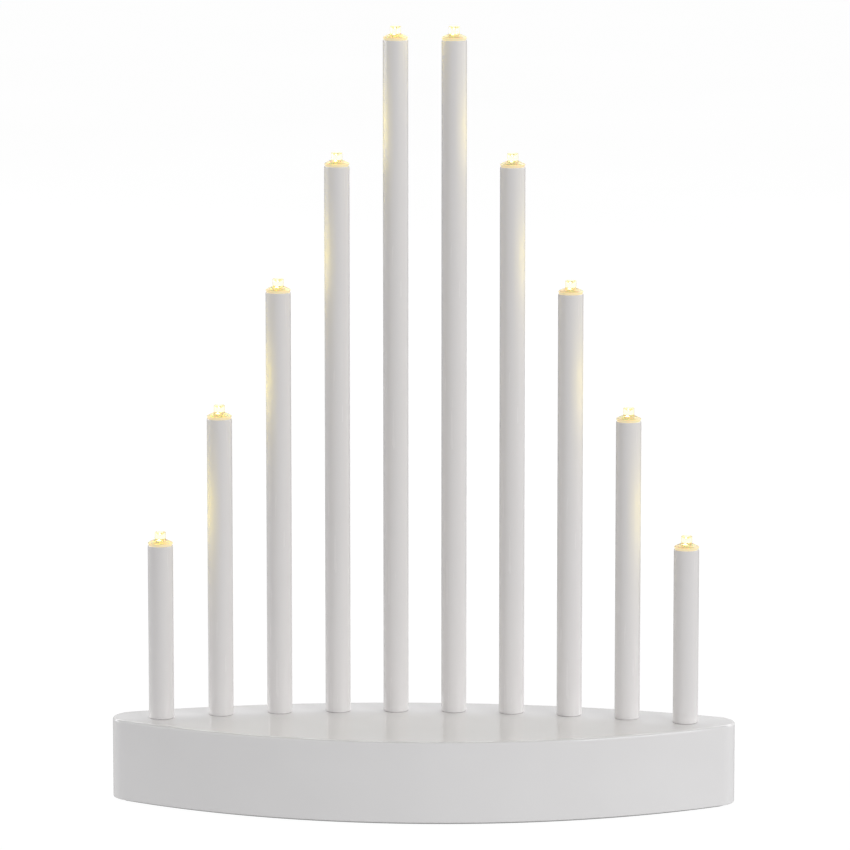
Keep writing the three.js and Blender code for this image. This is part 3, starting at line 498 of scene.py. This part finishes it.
def shell_mesh():
    shell = Surface()

    def level(inset, z):
        return shell.loop(lens_outline(inset, z))

    inside = [(SIDE_WALL, CEILING), (SIDE_WALL, COVER_STEP_HEIGHT), (RIM_WALL, COVER_STEP_HEIGHT),
              (RIM_WALL, SHELL_BOTTOM)]
    rim = [(-r, z) for r, z in round_edge(-RIM_FILLET, SHELL_BOTTOM + RIM_FILLET, RIM_FILLET, 3)]
    wall = [(0, SHELL_BOTTOM + RIM_FILLET + EDGE_BAND), (0, SHELL_TOP - TOP_FILLET - EDGE_BAND)]
    top = [(-r, z) for r, z in round_edge(-TOP_FILLET, SHELL_TOP - TOP_FILLET, TOP_FILLET, 0, FILLET_STEPS)]
    levels = [*inside, *rim, *wall, *top, (TOP_FILLET + EDGE_BAND, SHELL_TOP)]
    loops = [level(inset, z) for inset, z in levels]
    shell.bridges(loops)

    bore = TUBE_RADIUS - FOOT_ROUND + TUBE_FIT
    socket = [(bore + SOCKET_WALL, CEILING), (bore + SOCKET_WALL, TUBE_FOOT - SOCKET_FLOOR),
              (WIRE_HOLE_RADIUS, TUBE_FOOT - SOCKET_FLOOR), (WIRE_HOLE_RADIUS, TUBE_FOOT),
              (bore, TUBE_FOOT)]
    lip = [(2 * (bore + LIP_RADIUS) - r, z)
           for r, z in round_edge(bore + LIP_RADIUS, SHELL_TOP - LIP_RADIUS, LIP_RADIUS, 0)]
    profile = [*socket, *lip, (bore + LIP_RADIUS + EDGE_BAND, SHELL_TOP)]
    ceiling_holes, top_holes = [], []
    for label in candle_labels():
        x, y, _ = middle_of("candle_tube_" + label)
        rings = [shell.loop(circle(x, y, z, radius, HOLE_SIDES)) for radius, z in profile]
        shell.bridges(rings)
        ceiling_holes.append(rings[0])
        top_holes.append(rings[-1])
    shell.fill(loops[0], ceiling_holes)
    shell.fill(loops[-1], top_holes)
    return shell.mesh("shell")


add_piece("shell_fine", shell_mesh(), SHELL, ["base_shell"])


# Candle tubes, collars and LEDs, drawn with the rim of the tube at a height of 0
def tube_mesh(length):
    inner = TUBE_RADIUS - TUBE_WALL
    spigot = TUBE_RADIUS - FOOT_ROUND
    stand = -length + SHELL_TOP - TUBE_FOOT
    tube = Surface()
    profile = [
        (spigot - SPIGOT_WALL, -length),
        (spigot, -length),
        (spigot, stand),
        *round_edge(spigot, stand + FOOT_ROUND, FOOT_ROUND, 3)[1:],
        (TUBE_RADIUS, stand + 2 * FOOT_ROUND),
        (TUBE_RADIUS, -TUBE_EDGE - EDGE_BAND),
        *round_edge(TUBE_RADIUS - TUBE_EDGE, -TUBE_EDGE, TUBE_EDGE, 0),
        (inner, 0),
        (inner, stand + FOOT_ROUND),
        (spigot - SPIGOT_WALL, stand),
    ]
    tube.lathe(profile, TUBE_SIDES, closed=True)
    return tube.mesh("tube", sharp=50)


def collar_mesh():
    bore = LED_RADIUS + LED_FIT
    counterbore = LED_FLANGE_RADIUS + LED_FIT
    plug = TUBE_RADIUS - TUBE_WALL - COLLAR_PLUG_FIT
    shoulder = LED_FIT - LED_SEAT_DEPTH
    cone = []
    for i in range(EDGE_STEPS + 1):
        share = i / EDGE_STEPS
        radius = TUBE_RADIUS + (COLLAR_TOP_RADIUS - TUBE_RADIUS) * share
        height = COLLAR_FLANGE + (COLLAR_HEIGHT - COLLAR_EDGE - COLLAR_FLANGE) * share
        cone.append((radius + COLLAR_BULGE * math.sin(math.pi * share), height))
    collar = Surface()
    profile = [
        (counterbore, -COLLAR_PLUG),
        (plug, -COLLAR_PLUG),
        (plug, 0),
        (TUBE_RADIUS - GROOVE_DEPTH, 0),
        (TUBE_RADIUS - GROOVE_DEPTH, GROOVE_HEIGHT),
        *cone,
        (COLLAR_TOP_RADIUS - COLLAR_EDGE, COLLAR_HEIGHT),
        (bore, COLLAR_HEIGHT),
        (bore, shoulder),
        (counterbore, shoulder),
    ]
    collar.lathe(profile, SMALL_SIDES, closed=True)
    return collar.mesh("collar")


def resin_mesh():
    seat = -LED_SEAT_DEPTH
    foot = seat - LED_FLANGE_HEIGHT
    dish = []
    for i in range(1, EDGE_STEPS + 1):
        share = i / (EDGE_STEPS + 1)
        depth = LED_DISH_DEPTH * share ** LED_DISH_CURVE
        dish.append((LED_DISH_RADIUS * (1 - share), LED_TOP - depth))
    resin = Surface()
    profile = [
        (0, foot),
        *round_edge(LED_FLANGE_RADIUS - LED_EDGE, foot + LED_EDGE, LED_EDGE, 3),
        *round_edge(LED_FLANGE_RADIUS - LED_EDGE, seat - LED_EDGE, LED_EDGE, 0),
        (LED_RADIUS, seat),
        *round_edge(LED_RADIUS - LED_EDGE, LED_TOP - LED_EDGE, LED_EDGE, 0),
        (LED_DISH_RADIUS, LED_TOP),
        *dish,
        (0, LED_TOP - LED_DISH_DEPTH),
    ]
    resin.lathe(profile, SMALL_SIDES)
    return resin.mesh("resin", sharp=30)


def box_into(surface, x, y, z):
    """A box between the limits x, y and z, each a (low, high) pair."""
    corners = ((0, 0), (1, 0), (1, 1), (0, 1))
    bottom, top = (surface.loop([(x[i], y[j], height) for i, j in corners]) for height in z)
    surface.bridge(bottom, top)
    surface.faces += [tuple(bottom), tuple(top)]


# Lead frame in the resin: a post with a cup that holds the chip, and a thin post beside it. The chip is a
# disc with a small mound
POST_TOP = 2.1 * MM
CUP_HALF = 0.75 * MM
CUP_DEPTH = 0.35 * MM
CUP_HEIGHT = 0.9 * MM
CUP_X = -0.35 * MM
WHISKER_X = 0.95 * MM
WHISKER_HALF = 0.35 * MM
WHISKER_HEIGHT = 0.7 * MM
CUP_FLOOR_SHARE = 0.8
MOUND_RADIUS = 0.3 * MM
MOUND_HEIGHT = 0.5 * MM
MOUND_SIDES = 24


def lead_frame_mesh():
    bottom = -LED_SEAT_DEPTH - LED_FLANGE_HEIGHT - LEG_LENGTH
    posts = Surface()
    for side in (-1, 1):
        leg = (side * LEG_OUT - LEG_HALF, side * LEG_OUT + LEG_HALF)
        box_into(posts, leg, (-LEG_HALF, LEG_HALF), (bottom, POST_TOP - CUP_HEIGHT))
    box_into(posts, (-LEG_OUT - LEG_HALF, CUP_X + CUP_HALF), (-LEG_HALF, LEG_HALF),
             (POST_TOP - CUP_HEIGHT, POST_TOP - CUP_DEPTH))
    box_into(posts, (WHISKER_X - WHISKER_HALF, LEG_OUT + LEG_HALF), (-LEG_HALF, LEG_HALF),
             (POST_TOP - CUP_HEIGHT, POST_TOP - CUP_HEIGHT + WHISKER_HEIGHT))
    return posts.mesh("lead_frame", sharp=20)


def chip_mesh():
    chip = Surface()
    cup = POST_TOP - CUP_DEPTH
    profile = [(0, cup), (CUP_FLOOR_SHARE * CUP_HALF, cup)]
    for i in range(1, EDGE_STEPS):
        angle = math.pi / 2 * i / EDGE_STEPS
        profile.append((MOUND_RADIUS * math.cos(angle), cup + MOUND_HEIGHT * math.sin(angle)))
    profile.append((0, cup + MOUND_HEIGHT))
    chip.lathe(profile, MOUND_SIDES)
    return chip.mesh("chip", sharp=60)


collar = collar_mesh()
resin = resin_mesh()
lead_frame = lead_frame_mesh()
chip = chip_mesh()
for label in candle_labels():
    low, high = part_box("candle_tube_" + label)
    rim = Vector(((low.x + high.x) / 2, (low.y + high.y) / 2, high.z))
    add_piece("tube_fine_" + label, tube_mesh(high.z - low.z), TUBE,
              ["candle_tube_" + label], rim)
    add_piece("collar_fine_" + label, collar, COLLAR, ["led_collar_" + label], rim)
    add_piece("led_resin_" + label, resin, RESIN, ["led_" + label], rim)
    add_piece("led_frame_" + label, lead_frame, PLATED, (), rim)
    add_piece("led_chip_" + label, chip, CHIP, (), rim + Vector((CUP_X, 0, 0)))


# Soft feet: rounded pads with a shallow hollow underneath
FEET = 4
FOOT_EDGE = 0.8 * MM
FOOT_HOLLOW_RADIUS = 2.6 * MM
FOOT_HOLLOW_DEPTH = 0.25 * MM


def foot_mesh(radius, height):
    foot = Surface()
    profile = [
        (0, FOOT_HOLLOW_DEPTH),
        (FOOT_HOLLOW_RADIUS - FOOT_HOLLOW_DEPTH, FOOT_HOLLOW_DEPTH),
        (FOOT_HOLLOW_RADIUS, 0),
        *round_edge(radius - FOOT_EDGE, FOOT_EDGE, FOOT_EDGE, 3),
        (radius, height),
        (0, height),
    ]
    foot.lathe(profile, SMALL_SIDES)
    return foot.mesh("foot", sharp=50)


for number in range(1, FEET + 1):
    low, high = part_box(f"foot_{number}")
    middle = (low + high) / 2
    add_piece(f"foot_fine_{number}", foot_mesh((high.x - low.x) / 2, high.z - low.z), FOOT,
              [f"foot_{number}"], (middle.x, middle.y, low.z))


# Cover screws: a domed head with a cross recess, and a threaded shank
SCREWS = 4
HEAD_RADIUS = 2.7 * MM
HEAD_HEIGHT = 1.9 * MM
HEAD_RIM_SHARE = 0.25
CROWN_RADIUS = 1.9 * MM
CROSS_HALF_LENGTH = 1.5 * MM
CROSS_HALF_WIDTH = 0.36 * MM
CROSS_TAPER = 0.6
CROSS_DEPTH = 1 * MM
SHANK_RADIUS = 1.3 * MM
THREAD_DEPTH = 0.3 * MM
THREAD_PITCH = 0.75 * MM
THREAD_STARTS = 2 * MM
POINT_LENGTH = 1.5 * MM


def cross_outline(scale, z):
    """The recess's outline: a plus sign with its corners in order round the middle."""
    long, narrow = CROSS_HALF_LENGTH * scale, CROSS_HALF_WIDTH * scale
    corners = [(long, -narrow), (long, narrow), (narrow, narrow)]
    points = []
    for quarter in range(4):
        turn = Matrix.Rotation(math.pi / 2 * quarter, 2)
        points += [(*(turn @ Vector(corner)), z) for corner in corners]
    return points


def screw_mesh(length):
    """Drawn with the middle of its bearing face at the origin and its point upwards."""
    screw = Surface()
    head = []
    for i in range(EDGE_STEPS + 1):
        angle = math.pi / 2 * i / EDGE_STEPS
        dome = HEAD_RIM_SHARE + (1 - HEAD_RIM_SHARE) * math.cos(angle)
        head.append((CROWN_RADIUS + (HEAD_RADIUS - CROWN_RADIUS) * math.sin(angle), -HEAD_HEIGHT * dome))
    thread = []
    turns = int((length - POINT_LENGTH - THREAD_STARTS) / THREAD_PITCH)
    for i in range(turns):
        z = THREAD_STARTS + i * THREAD_PITCH
        thread += [(SHANK_RADIUS - THREAD_DEPTH, z), (SHANK_RADIUS, z + THREAD_PITCH / 2)]
    profile = [*head, (HEAD_RADIUS, 0), (SHANK_RADIUS, 0), *thread,
               (SHANK_RADIUS - THREAD_DEPTH, length - POINT_LENGTH), (0, length)]
    screw.lathe(profile, SCREW_SIDES)
    mouth = screw.loop(cross_outline(1, -HEAD_HEIGHT))
    floor = screw.loop(cross_outline(CROSS_TAPER, -HEAD_HEIGHT + CROSS_DEPTH))
    screw.bridge(mouth, floor)
    screw.fill(floor)
    screw.fill(list(range(SCREW_SIDES)), [mouth])
    return screw.mesh("screw", sharp=40)


for number in range(1, SCREWS + 1):
    low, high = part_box(f"cover_screw_{number}")
    middle = (low + high) / 2
    seat = low.z + HEAD_HEIGHT
    add_piece(f"screw_fine_{number}", screw_mesh(high.z - seat), ZINC,
              [f"cover_screw_{number}"], (middle.x, middle.y, seat))


# AA cells: a plain sleeve with a coloured band, and nickel ends
ALONG_X = Matrix.Rotation(math.pi / 2, 4, "Y")
NUB_RADIUS = 2.6 * MM
NUB_LENGTH = 1 * MM
CELL_EDGE = 0.7 * MM
SLEEVE_WALL = 0.15 * MM
SLEEVE_MOUTH = 5.9 * MM
BAND_LENGTH = 13 * MM
CAP_DROP = 0.1 * MM
CAP_FLAT_SHARE = 0.8
CAP_STEP_SHARE = 0.85


def sleeve_mesh(radius, start, end, open_at_start):
    """A stretch of the sleeve along Z. One end is open, and the other folds over the end of the cell."""
    inner_radius = radius - SLEEVE_WALL
    fold = radius - CELL_EDGE
    if open_at_start:
        profile = [
            (radius, start),
            *round_edge(fold, end - CELL_EDGE, CELL_EDGE, 0),
            (SLEEVE_MOUTH, end),
            (SLEEVE_MOUTH, end - SLEEVE_WALL),
            (fold, end - SLEEVE_WALL),
            (inner_radius, end - CELL_EDGE),
            (inner_radius, start + CELL_EDGE),
            (inner_radius, start),
        ]
    else:
        profile = [
            (SLEEVE_MOUTH, start),
            *round_edge(fold, start + CELL_EDGE, CELL_EDGE, 3),
            (radius, end),
            (inner_radius, end),
            (inner_radius, end - CELL_EDGE),
            (inner_radius, start + CELL_EDGE),
            (fold, start + SLEEVE_WALL),
            (SLEEVE_MOUTH, start + SLEEVE_WALL),
        ]
    sleeve = Surface()
    sleeve.lathe(profile, TUBE_SIDES, closed=True, turn=ALONG_X)
    return sleeve.mesh("sleeve", sharp=50)


def cell_core_mesh(radius, half):
    shoulder = half - NUB_LENGTH
    body = radius - 2 * SLEEVE_WALL
    core = Surface()
    profile = [
        (0, -half + 2 * CAP_DROP),
        (CAP_FLAT_SHARE * SLEEVE_MOUTH, -half + 2 * CAP_DROP),
        (CAP_STEP_SHARE * SLEEVE_MOUTH, -half + CAP_DROP),
        (SLEEVE_MOUTH, -half + SLEEVE_WALL + CAP_DROP),
        (body, -half + CELL_EDGE),
        (body, shoulder - CELL_EDGE),
        (SLEEVE_MOUTH, shoulder - SLEEVE_WALL - CAP_DROP),
        (NUB_RADIUS + 3 * CAP_DROP, shoulder - CAP_DROP),
        (NUB_RADIUS, shoulder + 2 * CAP_DROP),
        *round_edge(NUB_RADIUS - 2 * CAP_DROP, half - 2 * CAP_DROP, 2 * CAP_DROP, 0),
        (0, half),
    ]
    core.lathe(profile, TUBE_SIDES, turn=ALONG_X)
    return core.mesh("cell_core", sharp=50)


def add_cell(number, turned_round):
    node = f"battery_{number}"
    low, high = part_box(node)
    radius = (high.z - low.z) / 2
    half = (high.x - low.x) / 2
    shoulder = half - NUB_LENGTH
    band_start = shoulder - BAND_LENGTH
    middle = (low + high) / 2
    meshes = [
        ("core", cell_core_mesh(radius, half), NICKEL),
        ("sleeve", sleeve_mesh(radius, -half, band_start, open_at_start=False), SLEEVE),
        ("band", sleeve_mesh(radius, band_start, shoulder, open_at_start=True), BAND),
    ]
    for kind, mesh, material in meshes:
        if turned_round:
            mesh.transform(Matrix.Rotation(math.pi, 4, "Z"))
        add_piece(f"cell_{kind}_{number}", mesh, material, [node], middle)


add_cell(1, turned_round=False)
add_cell(2, turned_round=True)


# Battery contacts: bevelled sheet with a pressed dimple, and springs of round wire
SHEET = 0.5 * MM
SHEET_EDGE = 0.1 * MM
TAB_OUT = 3.9 * MM
TAB_HALF_WIDTH = 1.5 * MM
TAB_RISE = 3 * MM
DIMPLE_RADIUS = 2 * MM
DIMPLE_HEIGHT = 0.8 * MM
COIL_TURNS = 3
COIL_BASE_RADIUS = 3.8 * MM
COIL_TIP_RADIUS = 2.4 * MM
COIL_WIRE_RADIUS = 0.4 * MM
COIL_CLOSED_SHARE = 0.8
STRIP_RISE = 1 * MM

front_cell = middle_of("battery_1")
back_cell = middle_of("battery_2")
plate_low, plate_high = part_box("contact_plate")
spring_low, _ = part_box("contact_spring")
bridge_low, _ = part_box("contact_bridge")
BLADE_HALF_WIDTH = (plate_high.y - plate_low.y) / 2


def blade_mesh(face, out, y, with_tab=False):
    """A contact's sheet at x = face, which faces the cell; out is the way to the bay's end wall."""
    blade = Surface()
    span = sorted((face, face + out * SHEET))
    box_into(blade, span, (y - BLADE_HALF_WIDTH, y + BLADE_HALF_WIDTH), (plate_low.z, plate_high.z))
    if with_tab:
        tab_z = front_cell.z + TAB_RISE
        box_into(blade, (face + SHEET / 2, plate_high.x), (y - TAB_HALF_WIDTH, y + TAB_HALF_WIDTH),
                 (tab_z, tab_z + SHEET))
    return blade.mesh("blade", bevel=SHEET_EDGE)


def dimple_mesh(face, out, y):
    dimple = Surface()
    tip = face - out * DIMPLE_HEIGHT
    place = Matrix.Translation((tip, y, front_cell.z)) @ Matrix.Rotation(out * math.pi / 2, 4, "Y")
    profile = []
    for i in range(DIMPLE_STEPS + 1):
        angle = math.pi / 2 * i / DIMPLE_STEPS
        profile.append((DIMPLE_RADIUS * math.sin(angle), DIMPLE_HEIGHT * (1 - math.cos(angle))))
    profile += [(DIMPLE_RADIUS, DIMPLE_HEIGHT + SHEET / 2), (0, DIMPLE_HEIGHT + SHEET / 2)]
    dimple.lathe(profile, DIMPLE_SIDES, turn=place)
    return dimple.mesh("dimple", sharp=50)


def coil_mesh(face, out, y, reach):
    """A conical spring whose wide end is on the sheet and whose last turn is closed."""
    coil = Surface()
    rings = []
    steps = COIL_TURNS * COIL_STEPS
    for i in range(steps + 1):
        share = i / steps
        turned = 2 * math.pi * COIL_TURNS * share
        radius = COIL_BASE_RADIUS + (COIL_TIP_RADIUS - COIL_BASE_RADIUS) * share
        spoke = Vector((0, math.cos(turned), math.sin(turned)))
        climb = reach * min(1, share / COIL_CLOSED_SHARE)
        middle = Vector((face - out * climb, y, front_cell.z)) + radius * spoke
        ring = []
        for x, up, _ in circle(0, 0, 0, COIL_WIRE_RADIUS, COIL_SIDES):
            ring.append(middle + x * spoke + Vector((up, 0, 0)))
        rings.append(coil.loop(ring))
    coil.bridges(rings)
    coil.faces += [tuple(rings[0]), tuple(rings[-1])]
    return coil.mesh("coil", sharp=50)


def add_contacts():
    face = plate_high.x - TAB_OUT - SHEET
    bridge_face = bridge_low.x + SHEET
    reach = face - spring_low.x - COIL_WIRE_RADIUS
    strip = Surface()
    box_into(strip, (bridge_low.x, bridge_face),
             (front_cell.y + BLADE_HALF_WIDTH / 2, back_cell.y - BLADE_HALF_WIDTH / 2),
             (bridge_low.z, front_cell.z + STRIP_RISE))
    pieces = [
        ("plate_blade", blade_mesh(face, 1, front_cell.y, with_tab=True), "contact_plate"),
        ("plate_dimple", dimple_mesh(face, 1, front_cell.y), "contact_plate"),
        ("spring_blade", blade_mesh(face, 1, back_cell.y, with_tab=True), "contact_spring"),
        ("spring_coil", coil_mesh(face, 1, back_cell.y, reach), "contact_spring"),
        ("bridge_front", blade_mesh(bridge_face, -1, front_cell.y), "contact_bridge"),
        ("bridge_back", blade_mesh(bridge_face, -1, back_cell.y), "contact_bridge"),
        ("bridge_strip", strip.mesh("strip", bevel=SHEET_EDGE), "contact_bridge"),
        ("bridge_dimple", dimple_mesh(bridge_face, -1, back_cell.y), "contact_bridge"),
        ("bridge_coil", coil_mesh(bridge_face, -1, front_cell.y, reach), "contact_bridge"),
    ]
    for name, mesh, node in pieces:
        add_piece(name, mesh, PLATED, [node])


add_contacts()


# CAD nodes that stay as they are: their materials, and the width of the bevel on their edges
KEPT_FINISHES = {
    "bottom_cover": (COVER, 0.2 * MM),
    "battery_door": (DOOR, 0.15 * MM),
    "battery_lead_positive": (RED_WIRE, 0),
    "battery_lead_negative": (BLACK_WIRE, 0),
    "circuit_board": (BOARD, 0),
    "timer_chip": (PACKAGE, 0.1 * MM),
    "slide_switch": (CAN_STEEL, 0.1 * MM),
    "switch_knob": (KNOB, 0.12 * MM),
    "led_harness": (WHITE_WIRE, 0),
}
KEPT_BEVEL_ANGLE = math.radians(40)
for node, (material, bevel_width) in KEPT_FINISHES.items():
    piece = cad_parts[node]
    piece.data.materials.clear()
    piece.data.materials.append(material)
    piece.data.shade_smooth()
    piece.data.set_sharp_from_angle(angle=math.radians(SHARP_ANGLE))
    if bevel_width:
        bevel = piece.modifiers.new("edges", "BEVEL")
        bevel.width = bevel_width
        bevel.segments = BEVEL_SEGMENTS
        bevel.limit_method = "ANGLE"
        bevel.angle_limit = KEPT_BEVEL_ANGLE


# The white floor that the camera sees, two dimmer floors, far and near, that light the object instead, and
# a dim patch under the housing, which is painted shadow seen through the gap beneath the shell. All are seen
# from above only, so views from below show the underside
FLOOR_HALF = 6
FLOOR_GLOW = 0.97
FLOOR_ALBEDO = 0.06
FLOOR_MOTTLE = 0.01
BOUNCE_GLOW = 0.15
BOUNCE_DROP = 0.5 * MM
NEAR_RADIUS = 0.4
NEAR_DROP = 0.4 * MM
NEAR_GLOW = 0.42
# The patch under the housing glows less than the floor: a painted shadow seen through the gap beneath the
# shell
SHADOW_PATCH_LIFT = 0.02 * MM
SHADOW_PATCH_INSET = 3.2 * MM
SHADOW_PATCH_GLOW = 0.25


def add_floor(name, corners, glow):
    mesh = bpy.data.meshes.new(name)
    mesh.from_pydata(corners, [], [tuple(range(len(corners)))])
    floor = bpy.data.objects.new(name, mesh)
    bpy.context.scene.collection.objects.link(floor)
    finish = Finish(name, color=(FLOOR_ALBEDO,) * 3, roughness=1, Specular_IOR_Level=0)
    finish.set("Emission Color", (1, 1, 1, 1))
    finish.set("Emission Strength", glow)
    dark, light = FLOOR_ALBEDO - FLOOR_MOTTLE, FLOOR_ALBEDO + FLOOR_MOTTLE
    finish.vary_color(finish.noise(scale=3, detail=4), (dark, dark, dark), (light, light, light))
    clear = finish.nodes.new("ShaderNodeBsdfTransparent")
    side = finish.nodes.new("ShaderNodeNewGeometry")
    mix = finish.nodes.new("ShaderNodeMixShader")
    finish.links.new(side.outputs["Backfacing"], mix.inputs["Fac"])
    finish.links.new(finish.shader.outputs["BSDF"], mix.inputs[1])
    finish.links.new(clear.outputs["BSDF"], mix.inputs[2])
    finish.links.new(mix.outputs["Shader"], finish.nodes["Material Output"].inputs["Surface"])
    mesh.materials.append(finish.material)
    floor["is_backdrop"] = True
    return floor


def floor_corners(z):
    return [(x * FLOOR_HALF, y * FLOOR_HALF, z) for x, y in ((-1, -1), (1, -1), (1, 1), (-1, 1))]


white_floor = add_floor("floor", floor_corners(0), FLOOR_GLOW)
white_floor.visible_diffuse = False
white_floor.visible_glossy = False
white_floor.visible_shadow = False
near_corners = circle(0, 0, -NEAR_DROP, NEAR_RADIUS, SMALL_SIDES)
for bounce_floor in (add_floor("floor_bounce", floor_corners(-BOUNCE_DROP), BOUNCE_GLOW),
                     add_floor("floor_near", near_corners, NEAR_GLOW)):
    bounce_floor.visible_camera = False
    bounce_floor.visible_transmission = False
# Painted shadow under the housing
add_floor("painted_shadow_patch", lens_outline(SHADOW_PATCH_INSET, SHADOW_PATCH_LIFT), SHADOW_PATCH_GLOW)


# Soft studio light: a pale room with a dark ceiling, and softboxes. The room's strength changes over spans
# of the direction: from left to right, towards the back and towards the top
ROOM_LEFT = 1.2
ROOM_RIGHT = 0.65
ROOM_TOP = 0
ROOM_BACK = 0.76
SIDE_SPAN = (-0.8, 0.8)
BACK_SPAN = (0.2, 0.9)
TOP_SPAN = (0.3, 0.85)

# Each softbox's name, place, size and power in watts
SOFTBOXES = [
    ("soft_right", (1.3, -1.1, 0.75), (1, 1), 15),
    ("soft_back", (0.2, 1.3, 1.2), (3.2, 0.6), 21),
    ("soft_left", (-1.6, 0.1, 0.15), (0.6, 0.4), 1.3),
    ("rim_left", (-1.6, 0.6, 0.5), (0.8, 0.8), 7.7),
    ("rim_right", (1.6, 0.6, 0.5), (0.8, 0.8), 4.4),
]
SOFTBOX_TARGET = Vector((0, 0, 0.1))


def light_room():
    world = bpy.data.worlds.new("room")
    world.use_nodes = True
    bpy.context.scene.world = world
    nodes, links = world.node_tree.nodes, world.node_tree.links
    background = nodes["Background"]
    direction = nodes.new("ShaderNodeSeparateXYZ")
    links.new(nodes.new("ShaderNodeTexCoord").outputs["Generated"], direction.inputs["Vector"])

    def ranged(axis, span, low=0, high=1):
        node = nodes.new("ShaderNodeMapRange")
        node.interpolation_type = "SMOOTHSTEP"
        for name, number in zip(("From Min", "From Max", "To Min", "To Max"), (*span, low, high)):
            node.inputs[name].default_value = number
        links.new(direction.outputs[axis], node.inputs["Value"])
        return node.outputs["Result"]

    def towards(strength, share, goal):
        mix = nodes.new("ShaderNodeMix")
        mix.data_type = "FLOAT"
        mix.inputs["B"].default_value = goal
        links.new(share, mix.inputs["Factor"])
        links.new(strength, mix.inputs["A"])
        return mix.outputs["Result"]

    across = ranged("X", SIDE_SPAN, ROOM_LEFT, ROOM_RIGHT)
    walls = towards(across, ranged("Y", BACK_SPAN), ROOM_BACK)
    whole = towards(walls, ranged("Z", TOP_SPAN), ROOM_TOP)
    links.new(whole, background.inputs["Strength"])
    background.inputs["Color"].default_value = (1, 1, 1, 1)


def add_light(name, kind, place, power, **settings):
    light = bpy.data.lights.new(name, kind)
    light.energy = power
    for setting, value in settings.items():
        setattr(light, setting, value)
    holder = bpy.data.objects.new(name, light)
    holder.location = place
    bpy.context.scene.collection.objects.link(holder)
    return holder


light_room()
for name, place, (width, height), power in SOFTBOXES:
    softbox = add_light(name, "AREA", place, power, shape="RECTANGLE", size=width, size_y=height)
    softbox.rotation_euler = (SOFTBOX_TARGET - Vector(place)).to_track_quat("-Z", "Y").to_euler()


# Light of the LEDs on their taller neighbours. Each LED's dish sends it out and up, so it starts above the
# tip and a little to the front, and it is weaker on the right, as in the photograph. The tubes don't mirror
# it, because in the photograph the light on them is soft
GLOW_COLOR = (1, 0.79, 0)
GLOW_POWER = 0.0064
RIGHT_SHARE = 0.65
GLOW_LIFT = 9 * MM
GLOW_FORWARD = 1.5 * MM
GLOW_RADIUS = 3 * MM


def add_led_light(label):
    low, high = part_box("led_" + label)
    middle = (low + high) / 2
    place = (middle.x, middle.y - GLOW_FORWARD, high.z + GLOW_LIFT)
    power = GLOW_POWER * (RIGHT_SHARE if middle.x > 0 else 1)
    glow = add_light("glow_" + label, "POINT", place, power, shadow_soft_size=GLOW_RADIUS, color=GLOW_COLOR)
    glow.visible_camera = False
    glow.visible_glossy = False


for label in candle_labels():
    add_led_light(label)

bpy.context.scene.view_settings.view_transform = "Standard"

low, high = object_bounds()
